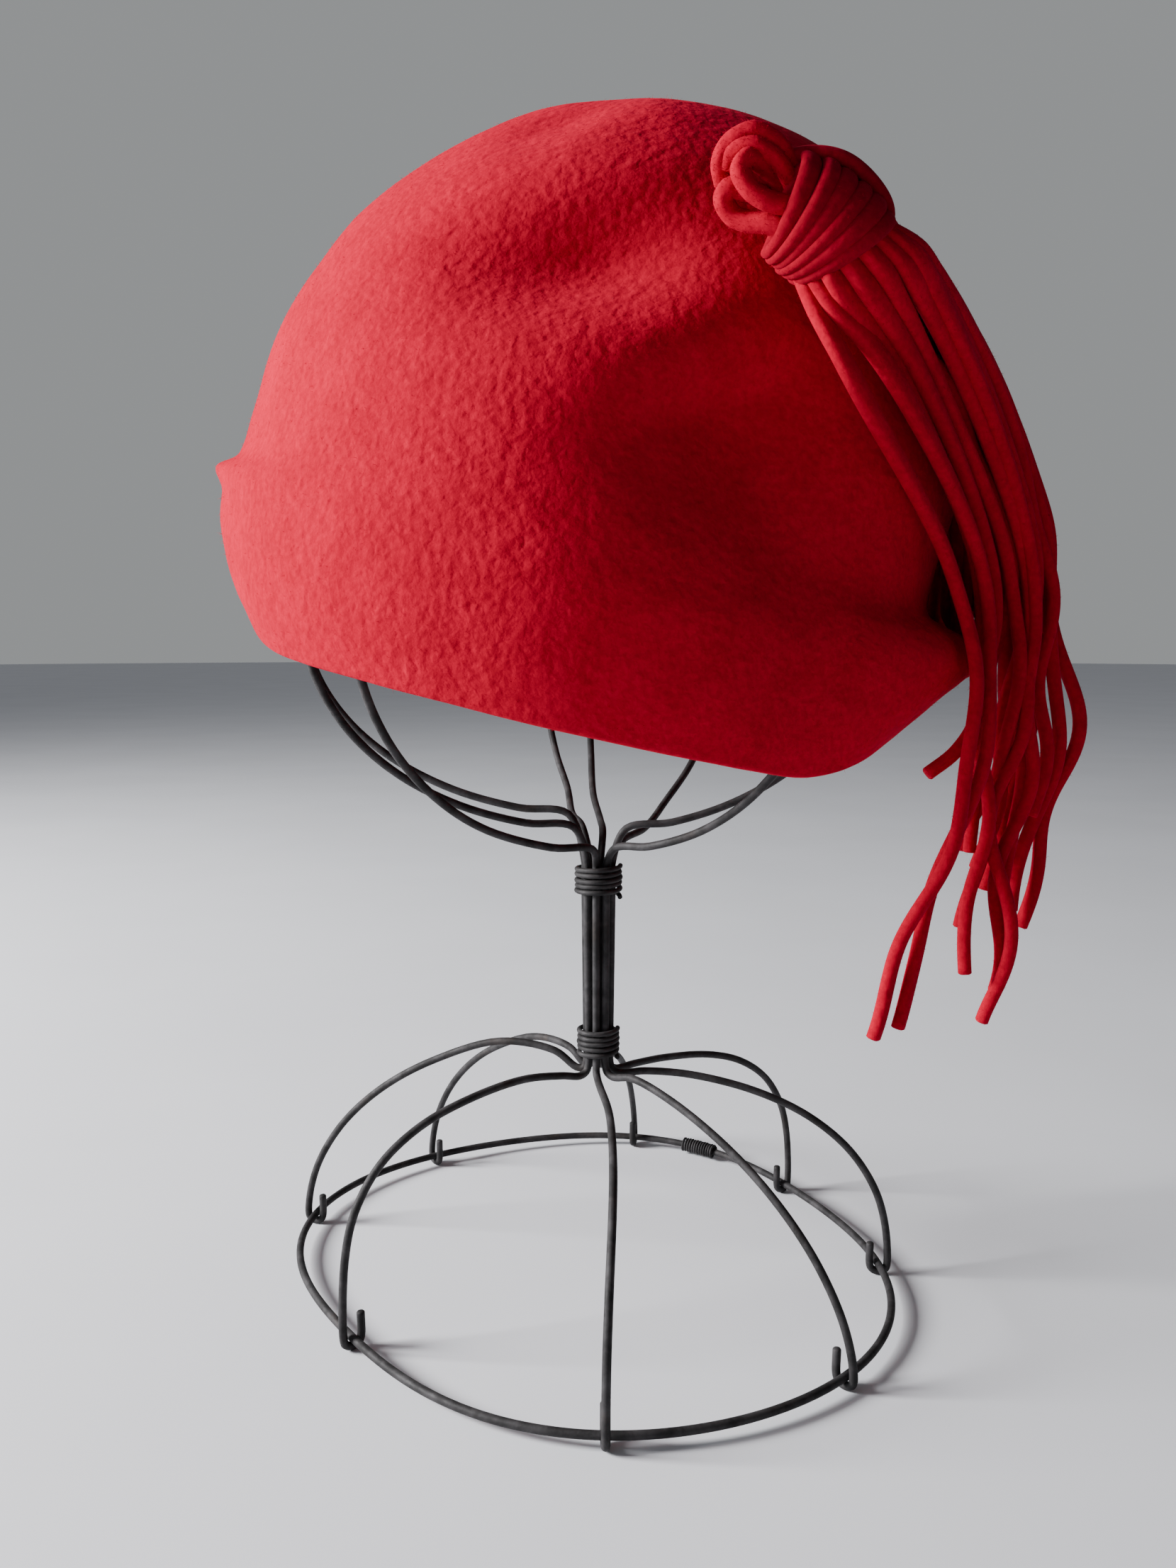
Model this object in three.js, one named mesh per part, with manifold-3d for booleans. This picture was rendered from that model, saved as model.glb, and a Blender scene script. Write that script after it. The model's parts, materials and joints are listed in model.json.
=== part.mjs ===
// A soft felt pixie hat with a knotted tassel, sitting on a bound wire hat stand.
// Millimetres, Z up: the stand's axis is Z, the back of the hat points to +X and its near side to -Y.
import * as THREE from 'three';
import { mergeVertices } from 'three/addons/utils/BufferGeometryUtils.js';
import Module from 'manifold-3d';

const wasm = await Module();
wasm.setup();

// Gap kept between pieces that touch.
const fit = 0.3;

// Stand: a ring, eight bent wires hooked under it and two bindings. Heights start at the ring's plane.
const wire = 2.3;
const wireSides = 6;
const ringRadius = 88;
const ringSteps = 44;
const hookRadius = wire + fit;
const hookTop = 6.5;
const hookSteps = 5;
const legShares = [0.99, 0.95, 0.86, 0.72, 0.54, 0.32];
const postShift = 2.6;
const postFoot = 57.5;
const postFootRadius = 3.5;
const postTop = 123;
const postTopRadius = 4.2;
const neckTop = 128;
const bowlHeight = 195;
const bowlAngles = [6, 16, 30, 45, 60, 75, 90];
const spreadRadius = 34;
const domeSteps = 5;
const cageRingRadius = 12;
const cageRingSteps = 20;
const bindingWire = 1.3;
const bindingPitch = 1.65;
const bindingSides = 4;
const bindingSteps = 10;
const upperBinding = { foot: 113.6, turns: 5 };
const lowerBinding = { foot: 63.5, turns: 5 };
const splice = { azimuth: 62, length: 13, radius: 2.6, bore: 1.75, sides: 10 };

// The ring is bent a little out of round: waves round it, their height and where they bulge.
const ringBends = [
  { waves: 2, size: 4.9, peak: 135 },
  { waves: 3, size: 1.8, peak: 56 },
  { waves: 4, size: 2.1, peak: 72 },
];

// The bend from a leg into the post, from below: radius, height over the post's foot, share of the
// arch's height over that foot, and share of the turn from the leg's azimuth to the wire's slot in the post.
const postBend = [
  { radius: 14, lift: 0, arched: 0.5, turned: 0 },
  { radius: 6.8, lift: 0, arched: 0.1, turned: 0.3 },
  { radius: 4.4, lift: 1.4, arched: 0, turned: 0.8 },
  { radius: postFootRadius, lift: 5, arched: 0, turned: 1 },
];

// One row for each wire: azimuth of its leg, height and fullness of its arch, how far it sways sideways,
// azimuth of its arm, height that the arm rises before it spreads, and how far out it bows.
const wires = [
  { leg: 35, arch: 57.5, power: 2.9, sway: 0, arm: 57, rise: 0, bow: 82 },
  { leg: 79, arch: 60, power: 1.6, sway: 0, arm: 92, rise: 2, bow: 82 },
  { leg: 129, arch: 66, power: 1.8, sway: 0, arm: 104, rise: 4, bow: 82 },
  { leg: 165, arch: 69, power: 1.9, sway: 0, arm: 178, rise: 9, bow: 87 },
  { leg: 216.5, arch: 61.5, power: 3.4, sway: 0, arm: 200, rise: 6, bow: 85 },
  { leg: 272.3, arch: 58, power: 2.3, sway: 3, arm: 222, rise: 0, bow: 83 },
  { leg: 315, arch: 61, power: 1.85, sway: 0, arm: 315, rise: 0, bow: 80 },
  { leg: 354.5, arch: 59.5, power: 2.4, sway: 0, arm: 357, rise: 5, bow: 80 },
];

// Hat: where its rim sits on the stand's axis, how far its back drops, and the felt.
const seatHeight = 168;
const backDrop = 13;
const felt = 2.4;
const aroundCrown = 42;
const stepsUpCrown = 18;
const skinAround = 120;
const skinUp = 60;

// One row for each level of the crown: height above the rim, reach to the front, to the back and
// to each side, and how far the turned-up edge stands out beyond that at the front and at the back.
const levels = [
  { height: 0, front: 103, back: 85, side: 84, rollFront: 0, rollBack: 7 },
  { height: 10, front: 109.5, back: 86.5, side: 87.5, rollFront: 0, rollBack: 11.5 },
  { height: 22, front: 113, back: 88, side: 89.5, rollFront: 0.5, rollBack: 16 },
  { height: 33, front: 113.5, back: 88.8, side: 90.5, rollFront: 1, rollBack: 17.2 },
  { height: 41, front: 113, back: 88.6, side: 90, rollFront: 4.5, rollBack: 12.4 },
  { height: 48, front: 111.5, back: 88, side: 89.5, rollFront: 0, rollBack: 0 },
  { height: 60, front: 110, back: 86.5, side: 88, rollFront: 0, rollBack: 0 },
  { height: 80, front: 108, back: 87.5, side: 85, rollFront: 0, rollBack: 0 },
  { height: 100, front: 102, back: 85.5, side: 79, rollFront: 0, rollBack: 0 },
  { height: 120, front: 90.5, back: 77.5, side: 70, rollFront: 0, rollBack: 0 },
  { height: 140, front: 72, back: 62, side: 56, rollFront: 0, rollBack: 0 },
  { height: 155, front: 50, back: 45, side: 40, rollFront: 0, rollBack: 0 },
  { height: 164, front: 21, back: 25, side: 20, rollFront: 0, rollBack: 0 },
  { height: 167, front: -6, back: 6, side: 0, rollFront: 0, rollBack: 0 },
];

// The edge turns up at the back and, in a tighter roll, at the front.
const grooveHeight = 48;
const turnUp = {
  back: { lift: 28, from: 0.6, power: 2.1, rollPower: 0.9 },
  front: { lift: 24, from: 0.62, power: 4, rollPower: 1.5 },
};

// One row for each dent (or, with a negative depth, bump): its middle, half length, half width above
// and below its long axis, slant and depth.
const dents = [
  { azimuth: -100, height: 108, long: 30, above: 13, below: 16, slant: 20, depth: 9.5 },
  { azimuth: -73, height: 81, long: 25, above: 11, below: 48, slant: 38, depth: 11.5 },
  { azimuth: -86, height: 112, long: 13, above: 12, below: 12, slant: 0, depth: -1 },
  { azimuth: -124, height: 143, long: 14, above: 10, below: 10, slant: 0, depth: 2 },
  { azimuth: -42, height: 48, long: 26, above: 7, below: 7, slant: 0, depth: 1.2 },
];
const dentArcRadius = 85;
const poleFade = 8;

// Knot: where it lies on the crown, the way its bent axis points at its middle, and its wound strip.
const knotAzimuth = -71;
const knotLevel = 0.674;
const knotLift = 14.6;
const knotAxis = new THREE.Vector3(0.81, 0.13, -0.55).normalize();
const knotCurveRadius = 68;
const strip = { width: 4.6, thick: 3.6, sides: 5 };
const layGap = 0.5;
const stripSteps = 18;
const loopSteps = 10;
const coreRadius = { loops: 9.2, mouth: 10.6 };
const wrap = { turns: 5.5, pitch: 3.5, thick: 3, width: 2.8, sides: 5, steps: 12 };
const coreBeyondWrap = 3;
const coreSides = 14;
const coreSteps = 4;
const wrapLength = wrap.turns * wrap.pitch;
const coreLength = wrapLength + wrap.pitch + coreBeyondWrap;

// One row for each strip of the tassel: its place round the mouth of the knot, where it passes the
// shoulder, waist and hem heights (x and y), and its cut end straight below the hem (x and height).
const shoulderHeight = 250;
const waistHeight = 205;
const hemHeight = 165;
const strips = [
  { mouth: 262, shoulder: [57, -80], waist: [93, -45], hem: [100, -46], end: [74, 84] },
  { mouth: 282, shoulder: [68, -74], waist: [103, -38], hem: [103, -42], end: [82, 86] },
  { mouth: 300, shoulder: [72, -68], waist: [103, -34], hem: [101, -38], end: [90, 154] },
  { mouth: 318, shoulder: [78, -65], waist: [108, -30], hem: [109, -33], end: [104, 98] },
  { mouth: 340, shoulder: [84, -58], waist: [114, -27], hem: [114, -29], end: [104, 110] },
  { mouth: 5, shoulder: [93, -51], waist: [119, -25], hem: [118, -31], end: [109, 84] },
  { mouth: 25, shoulder: [101, -43], waist: [123, -21], hem: [120, -24], end: [117, 118] },
  { mouth: 45, shoulder: [107, -36], waist: [126, -18], hem: [126, -20], end: [125, 140] },
  { mouth: 65, shoulder: [110.5, -29], waist: [130, -14], hem: [131, -16], end: [122, 112] },
  { mouth: 85, shoulder: [113.5, -21], waist: [133, -10], hem: [136, -12], end: [126, 106] },
  { mouth: 110, shoulder: [114, -10], waist: [127, -4], hem: [124, -6], end: [116, 116] },
  { mouth: 135, shoulder: [107, -24], waist: [120, -12], hem: [116, -14], end: [112, 124] },
  { mouth: 200, shoulder: [88, -46], waist: [116, -22], hem: [112, -22], end: [108, 130] },
];

// Where a strip leaves the core's mouth: distance beyond its end and share of its radius.
const mouthMarks = [
  { distance: -3, share: 0.75 },
  { distance: 1.5, share: 0.95 },
];

// How deep a loop's roots are sunk in the core's end.
const loopSunk = 1.5;

// One row for each loop at the closed end of the knot: how far it lies off the knot's axis, away from
// the crown and across, half its width, its reach, and how far it bulges off the crown and leans across.
const loops = [
  { out: -2, over: 1, half: 8, reach: 11, bulge: 1.5, lean: 1 },
  { out: 3, over: 1.3, half: 4.8, reach: 9.2, bulge: 3.5, lean: 2.6 },
  { out: 2.5, over: -5.2, half: 2.9, reach: 7.5, bulge: 2.2, lean: -1.6 },
];

const feltRed = () => new THREE.MeshStandardMaterial({ color: 0xb3121d, roughness: 1, metalness: 0 });
const ironGrey = () => new THREE.MeshStandardMaterial({ color: 0x3a3635, roughness: 0.55, metalness: 0.8 });

const degrees = THREE.MathUtils.degToRad;
const zAxis = new THREE.Vector3(0, 0, 1);
const group = new THREE.Group();
const assembly = new THREE.Group();
group.add(assembly);

// Adds one closed piece under its node name.
function addPiece(name, geometry, material, turn = 0) {
  geometry.deleteAttribute('normal');
  geometry.deleteAttribute('uv');
  const closed = mergeVertices(geometry, 1e-4);
  closed.computeVertexNormals();
  const mesh = new THREE.Mesh(closed, material);
  mesh.name = name;
  mesh.rotation.z = turn;
  assembly.add(mesh);
}

// A smooth curve that is stepped from point to point, so each given point gets a section.
class Route extends THREE.CatmullRomCurve3 {
  getUtoTmapping(u) {
    return u;
  }
}

// Regular outline of a round or flattened section.
function sectionShape(width, height, sides) {
  const corners = [];
  for (let k = 0; k < sides; k++) {
    const a = (2 * Math.PI * k) / sides;
    corners.push(new THREE.Vector2((width / 2) * Math.cos(a), (height / 2) * Math.sin(a)));
  }
  return new THREE.Shape(corners);
}

// Solid rod of one section along the points of a route.
function rod(points, shape) {
  const settings = { steps: points.length - 1, bevelEnabled: false, extrudePath: new Route(points) };
  return new THREE.ExtrudeGeometry(shape, settings);
}

function toSolid(geometry) {
  geometry.deleteAttribute('normal');
  geometry.deleteAttribute('uv');
  const merged = mergeVertices(geometry, 1e-4);
  const vertProperties = new Float32Array(merged.attributes.position.array);
  const triVerts = new Uint32Array(merged.index.array);
  return new wasm.Manifold(new wasm.Mesh({ numProp: 3, vertProperties, triVerts }));
}

function fuse(geometries) {
  let whole = toSolid(geometries[0]);
  for (const geometry of geometries.slice(1)) {
    whole = whole.add(toSolid(geometry));
  }
  const mesh = whole.getMesh();
  const fused = new THREE.BufferGeometry();
  fused.setAttribute('position', new THREE.BufferAttribute(new Float32Array(mesh.vertProperties), 3));
  fused.setIndex(new THREE.BufferAttribute(new Uint32Array(mesh.triVerts), 1));
  return fused;
}

// Felt crown: a smooth run through the levels, each an ellipse about its own middle.
const frontRow = levels.map((row) => row.front);
const backRow = levels.map((row) => row.back);
const sideRow = levels.map((row) => row.side);
const rollFrontRow = levels.map((row) => row.rollFront);
const rollBackRow = levels.map((row) => row.rollBack);
const heightRow = levels.map((row) => row.height);

// Catmull-Rom value of one column at t from 0 (rim) to 1 (pole); beyond the pole the column mirrors.
function along(column, t, beyond) {
  const last = column.length - 1;
  const s = Math.min(Math.max(t, 0), 1) * last;
  const k = Math.min(Math.floor(s), last - 1);
  const f = s - k;
  const a = k > 0 ? column[k - 1] : 2 * column[0] - column[1];
  const b = column[k];
  const c = column[k + 1];
  const d = k + 2 <= last ? column[k + 2] : beyond;
  return b + 0.5 * f * (c - a + f * (2 * a - 5 * b + 4 * c - d + f * (3 * (b - c) + d - a)));
}

const lastLevel = levels[levels.length - 1];
const nextLevel = levels[levels.length - 2];
const poleShift = lastLevel.back - lastLevel.front;
const beyondPole = {
  front: -nextLevel.back - poleShift,
  back: -nextLevel.front + poleShift,
  side: -nextLevel.side,
  height: nextLevel.height,
};

// Hat frame to stand frame: the back of the hat drops.
const lowerBack = new THREE.Matrix4().makeRotationY(degrees(backDrop));
const seat = new THREE.Vector3(0, 0, seatHeight);

function placeHat(point) {
  return point.applyMatrix4(lowerBack).add(seat);
}

// The plain crown, before its dents, at azimuth u and level t.
function plainCrown(u, t) {
  const front = along(frontRow, t, beyondPole.front);
  const back = along(backRow, t, beyondPole.back);
  const side = along(sideRow, t, beyondPole.side);
  const height = along(heightRow, t, beyondPole.height);
  const c = Math.cos(u);
  const backShare = Math.max(0, (c - turnUp.back.from) / (1 - turnUp.back.from));
  const frontShare = Math.max(0, (-c - turnUp.front.from) / (1 - turnUp.front.from));
  const backLift = turnUp.back.lift * backShare ** turnUp.back.power;
  const frontLift = turnUp.front.lift * frontShare ** turnUp.front.power;
  const hem = Math.max(0, 1 - height / grooveHeight);
  const rollBack = along(rollBackRow, t, 0) * backShare ** turnUp.back.rollPower;
  const rollFront = along(rollFrontRow, t, 0) * frontShare ** turnUp.front.rollPower;
  const x = (back - front) / 2 + ((back + front) / 2) * c + rollBack - rollFront;
  return new THREE.Vector3(x, side * Math.sin(u), height + (backLift + frontLift) * hem);
}

// Outward unit normal of a surface given as a function of u and t.
function normalOf(surface, u, t) {
  const du = 0.01;
  const dt = 0.004;
  const low = Math.min(t, 1 - 2 * dt);
  const alongU = surface(u + du, low).sub(surface(u - du, low));
  const alongT = surface(u, low + dt).sub(surface(u, Math.max(0, low - dt)));
  return alongU.cross(alongT).normalize();
}

// How far the dents push the felt in at a point of the plain crown.
function dentDepth(u, height) {
  let depth = 0;
  for (const dent of dents) {
    let turn = u - degrees(dent.azimuth);
    turn -= 2 * Math.PI * Math.round(turn / (2 * Math.PI));
    const sideways = turn * dentArcRadius;
    const upwards = height - dent.height;
    const slant = degrees(dent.slant);
    const lengthways = (sideways * Math.cos(slant) + upwards * Math.sin(slant)) / dent.long;
    const crossways = upwards * Math.cos(slant) - sideways * Math.sin(slant);
    const wide = crossways > 0 ? dent.above : dent.below;
    depth += dent.depth * Math.exp(-(lengthways ** 2) - (crossways / wide) ** 2);
  }
  return depth;
}

function dentedCrown(u, t) {
  const point = plainCrown(u, t);
  const fade = Math.min(1, (1 - t) * poleFade);
  return point.addScaledVector(normalOf(plainCrown, u, t), -fade * dentDepth(u, point.z));
}

// Outer (inset 0) or inner face of the felt, in the stand's frame.
function crownPoint(u, t, inset) {
  const point = dentedCrown(u, t);
  return placeHat(point.addScaledVector(normalOf(dentedCrown, u, t), -inset));
}

function crownPole(inset) {
  const point = plainCrown(0, 1);
  point.z -= inset;
  return placeHat(point);
}

function crownGeometry() {
  const positions = [];
  const index = [];
  const faces = [0, felt];
  for (const inset of faces) {
    for (let j = 0; j < stepsUpCrown; j++) {
      for (let i = 0; i < aroundCrown; i++) {
        const p = crownPoint((2 * Math.PI * i) / aroundCrown, j / stepsUpCrown, inset);
        positions.push(p.x, p.y, p.z);
      }
    }
    const pole = crownPole(inset);
    positions.push(pole.x, pole.y, pole.z);
  }
  const perFace = aroundCrown * stepsUpCrown + 1;
  const at = (face, i, j) => face * perFace + j * aroundCrown + (i % aroundCrown);
  for (let i = 0; i < aroundCrown; i++) {
    for (let j = 0; j + 1 < stepsUpCrown; j++) {
      index.push(at(0, i, j), at(0, i + 1, j), at(0, i + 1, j + 1));
      index.push(at(0, i, j), at(0, i + 1, j + 1), at(0, i, j + 1));
      index.push(at(1, i, j), at(1, i + 1, j + 1), at(1, i + 1, j));
      index.push(at(1, i, j), at(1, i, j + 1), at(1, i + 1, j + 1));
    }
    const top = stepsUpCrown - 1;
    index.push(at(0, i, top), at(0, i + 1, top), perFace - 1);
    index.push(at(1, i + 1, top), at(1, i, top), 2 * perFace - 1);
    index.push(at(0, i, 0), at(1, i, 0), at(1, i + 1, 0));
    index.push(at(0, i, 0), at(1, i + 1, 0), at(0, i + 1, 0));
  }
  const geometry = new THREE.BufferGeometry();
  geometry.setAttribute('position', new THREE.Float32BufferAttribute(positions, 3));
  geometry.setIndex(index);
  return geometry;
}

// Lowest height of the felt's inner face straight over a circle about the post's axis.
function ceilingOver(radius) {
  const upwards = new THREE.Raycaster();
  const crown = new THREE.Mesh(crownGeometry(), feltRed());
  let lowest = Infinity;
  for (let k = 0; k < aroundCrown; k++) {
    const a = (2 * Math.PI * k) / aroundCrown;
    const from = new THREE.Vector3(postShift + radius * Math.cos(a), radius * Math.sin(a), bowlHeight);
    upwards.set(from, zAxis);
    lowest = Math.min(lowest, upwards.intersectObject(crown)[0].point.z);
  }
  return lowest;
}

// Sample of the crown's outer face with its normals, used to lay other pieces on it.
const skin = [];
for (let j = 0; j < skinUp; j++) {
  for (let i = 0; i < skinAround; i++) {
    const u = (2 * Math.PI * i) / skinAround;
    const t = j / skinUp;
    const normal = normalOf(dentedCrown, u, t).applyMatrix4(lowerBack);
    skin.push({ point: crownPoint(u, t, 0), normal });
  }
}

// Moves a point out of the crown until it stands off its face by the given clearance.
function standOff(point, clearance) {
  let nearest = skin[0];
  for (const spot of skin) {
    if (spot.point.distanceToSquared(point) < nearest.point.distanceToSquared(point)) {
      nearest = spot;
    }
  }
  const height = point.clone().sub(nearest.point).dot(nearest.normal);
  if (height < clearance) {
    point.addScaledVector(nearest.normal, clearance - height);
  }
  return point;
}

// Ring radius at an azimuth.
function ringAt(azimuth) {
  let radius = ringRadius;
  for (const bend of ringBends) {
    radius += bend.size * Math.cos(bend.waves * degrees(azimuth - bend.peak));
  }
  return radius;
}

function baseRing() {
  const ring = new THREE.TorusGeometry(ringRadius, wire / 2, wireSides, ringSteps);
  const position = ring.attributes.position;
  for (let k = 0; k < position.count; k++) {
    const azimuth = Math.atan2(position.getY(k), position.getX(k));
    const shift = ringAt(THREE.MathUtils.radToDeg(azimuth)) - ringRadius;
    position.setX(k, position.getX(k) + shift * Math.cos(azimuth));
    position.setY(k, position.getY(k) + shift * Math.sin(azimuth));
  }
  return ring;
}

// Short wound sleeve where the ring's two ends meet.
function ringSplice() {
  const half = splice.length / 2;
  const outline = [
    new THREE.Vector2(splice.bore, -half),
    new THREE.Vector2(splice.radius, -half),
    new THREE.Vector2(splice.radius, half),
    new THREE.Vector2(splice.bore, half),
    new THREE.Vector2(splice.bore, -half),
  ];
  const sleeve = new THREE.LatheGeometry(outline, splice.sides);
  const step = 0.5;
  const from = ringAt(splice.azimuth - step);
  const to = ringAt(splice.azimuth + step);
  const start = new THREE.Vector3(from, 0, 0).applyAxisAngle(zAxis, degrees(splice.azimuth - step));
  const end = new THREE.Vector3(to, 0, 0).applyAxisAngle(zAxis, degrees(splice.azimuth + step));
  const run = end.sub(start).normalize();
  sleeve.applyQuaternion(new THREE.Quaternion().setFromUnitVectors(new THREE.Vector3(0, 1, 0), run));
  const middle = new THREE.Vector3(ringAt(splice.azimuth), 0, 0);
  middle.applyAxisAngle(zAxis, degrees(splice.azimuth));
  return sleeve.translate(middle.x, middle.y, middle.z);
}

const cageTop = ceilingOver(cageRingRadius + wire / 2) - fit - wire / 2;

// One stand wire in its leg's own upright plane: hook, leg, post, arm and the hidden cage.
function wirePoints(row, slot) {
  const reach = ringAt(row.leg);
  const foot = reach + hookRadius;
  const post = new THREE.Vector2(postShift, 0).rotateAround(new THREE.Vector2(), -degrees(row.leg));
  const points = [new THREE.Vector3(reach - hookRadius, 0, hookTop)];
  for (let k = 0; k <= hookSteps; k++) {
    const a = Math.PI * (1 + k / hookSteps);
    points.push(new THREE.Vector3(reach + hookRadius * Math.cos(a), 0, hookRadius * Math.sin(a)));
  }
  for (const share of legShares) {
    const height = row.arch * (1 - share ** row.power) ** (1 / row.power);
    const sway = row.sway * Math.sin(Math.PI * share);
    points.push(new THREE.Vector3(post.x + (foot - post.x) * share, post.y * (1 - share) + sway, height));
  }
  const put = (radius, height, azimuth) => {
    const a = degrees(azimuth - row.leg);
    points.push(new THREE.Vector3(post.x + radius * Math.cos(a), post.y + radius * Math.sin(a), height));
  };
  for (const bend of postBend) {
    const height = postFoot + bend.lift + bend.arched * (row.arch - postFoot);
    put(bend.radius, height, THREE.MathUtils.lerp(row.leg, slot, bend.turned));
  }
  put(postTopRadius, postTop, slot);
  const start = neckTop + row.rise;
  for (const angle of bowlAngles) {
    const a = degrees(angle);
    const radius = row.bow * Math.sin(a);
    const turned = THREE.MathUtils.smoothstep(radius, postTopRadius, spreadRadius);
    const height = start + (bowlHeight - start) * (1 - Math.cos(a));
    put(radius, height, THREE.MathUtils.lerp(slot, row.arm, turned));
  }
  const endAngle = Math.acos((cageRingRadius + wire / 2 + fit) / row.bow);
  const domeHeight = (cageTop - bowlHeight) / Math.sin(endAngle);
  for (let k = 1; k <= domeSteps; k++) {
    const a = (endAngle * k) / domeSteps;
    put(row.bow * Math.cos(a), bowlHeight + domeHeight * Math.sin(a), row.arm);
  }
  return points;
}

// Coil of binding wire round the post.
function binding(sizes, postRadius) {
  const clear = postRadius + wire / 2 + fit + bindingWire / 2;
  const radius = clear / Math.cos(Math.PI / bindingSteps);
  const points = [];
  for (let k = 0; k <= sizes.turns * bindingSteps; k++) {
    const a = (2 * Math.PI * k) / bindingSteps;
    const height = sizes.foot + (bindingPitch * k) / bindingSteps;
    points.push(new THREE.Vector3(postShift + radius * Math.cos(a), radius * Math.sin(a), height));
  }
  return rod(points, sectionShape(bindingWire, bindingWire, bindingSides));
}

// Knot frame: its middle, its axis from the loops to the mouth, the way off the crown, and across.
const knotSeat = crownPoint(degrees(knotAzimuth), knotLevel, 0);
const knotMiddle = standOff(knotSeat.clone(), knotLift);
const offCrown = knotMiddle.clone().sub(knotSeat).normalize();
const across = offCrown.clone().cross(knotAxis).normalize();
const upright = knotAxis.clone().cross(across).normalize();

// Point in the knot's frame: distance along its bent axis, then away from the crown and across.
function knotPoint(distance, out, over) {
  const turned = distance / knotCurveRadius;
  const point = knotMiddle.clone().addScaledVector(upright, out);
  point.addScaledVector(knotAxis, (knotCurveRadius + over) * Math.sin(turned));
  return point.addScaledVector(across, (knotCurveRadius + over) * Math.cos(turned) - knotCurveRadius);
}

// The same by radius and angle about the axis.
function roundKnot(distance, radius, angle) {
  const a = degrees(angle);
  return knotPoint(distance, radius * Math.cos(a), radius * Math.sin(a));
}

// Radius of the bundled strips at a distance along the knot's axis: wider towards the mouth.
function bundleRadius(distance) {
  const share = distance / coreLength + 0.5;
  return THREE.MathUtils.lerp(coreRadius.loops, coreRadius.mouth, share);
}

function knotWrap() {
  const points = [];
  for (let k = 0; k <= wrap.turns * wrap.steps; k++) {
    const distance = wrap.pitch * (k / wrap.steps - wrap.turns / 2);
    const radius = (bundleRadius(distance) + fit + wrap.thick / 2) / Math.cos(Math.PI / wrap.steps);
    points.push(roundKnot(distance, radius, (360 * k) / wrap.steps));
  }
  return rod(points, sectionShape(wrap.thick, wrap.width, wrap.sides));
}

// Bundled strips inside the wrap.
function knotCore() {
  const { mouth, loops: closed } = coreRadius;
  const core = new THREE.CylinderGeometry(mouth, closed, coreLength, coreSides, coreSteps);
  const position = core.attributes.position;
  for (let k = 0; k < position.count; k++) {
    const point = knotPoint(position.getY(k), position.getX(k), position.getZ(k));
    position.setXYZ(k, point.x, point.y, point.z);
  }
  return core;
}

// One loop: out of the core's end, round and back in.
function knotLoop(row) {
  const root = loopSunk - coreLength / 2;
  const points = [];
  for (let k = 0; k <= loopSteps; k++) {
    const a = Math.PI * (k / loopSteps);
    const distance = root - (loopSunk + row.reach) * Math.sin(a);
    const out = row.out + row.bulge * Math.sin(a);
    const over = row.over + row.half * Math.cos(a) + row.lean * Math.sin(a);
    points.push(standOff(knotPoint(distance, out, over), strip.width / 2 + layGap));
  }
  return rod(points, sectionShape(strip.width, strip.thick, strip.sides));
}

// One strip: out of the knot's mouth, over the crown and down to its cut end.
function tasselStrip(row) {
  const root = coreLength / 2;
  const clearance = strip.width / 2 + layGap;
  const marks = [
    ...mouthMarks.map((mark) => roundKnot(root + mark.distance, coreRadius.mouth * mark.share, row.mouth)),
    new THREE.Vector3(row.shoulder[0], row.shoulder[1], shoulderHeight),
    new THREE.Vector3(row.waist[0], row.waist[1], waistHeight),
    new THREE.Vector3(row.hem[0], row.hem[1], hemHeight),
    new THREE.Vector3(row.end[0], row.hem[1], row.end[1]),
  ];
  const points = new THREE.CatmullRomCurve3(marks).getSpacedPoints(stripSteps);
  const laid = points.map((point, k) => (k > 1 ? standOff(point, clearance) : point));
  return rod(laid, sectionShape(strip.width, strip.thick, strip.sides));
}

addPiece('crown', crownGeometry(), feltRed());
const tasselParts = [knotCore(), ...loops.map(knotLoop), ...strips.map(tasselStrip)];
addPiece('tassel', fuse(tasselParts), feltRed());
addPiece('knot_wrap', knotWrap(), feltRed());
addPiece('base_ring', baseRing(), ironGrey());
addPiece('ring_splice', ringSplice(), ironGrey());
wires.forEach((row, k) => {
  const slot = wires[0].leg + (360 * k) / wires.length;
  const round = sectionShape(wire, wire, wireSides);
  addPiece(`stand_wire_${k + 1}`, rod(wirePoints(row, slot), round), ironGrey(), degrees(row.leg));
});
addPiece('upper_binding', binding(upperBinding, postTopRadius), ironGrey());
addPiece('lower_binding', binding(lowerBinding, postFootRadius), ironGrey());
const cageRing = new THREE.TorusGeometry(cageRingRadius, wire / 2, wireSides, cageRingSteps);
addPiece('cage_ring', cageRing.translate(postShift, 0, cageTop), ironGrey());

// The whole assembly stands over the middle of its own footprint.
assembly.updateMatrixWorld(true);
const box = new THREE.Box3().setFromObject(assembly, true);
const middle = box.getCenter(new THREE.Vector3());
assembly.position.set(-middle.x, -middle.y, -box.min.z);

export default group;
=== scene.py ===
# Red felt pixie hat with a knotted tassel, on a bound wire hat stand.
import json
import math
from types import SimpleNamespace

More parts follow.
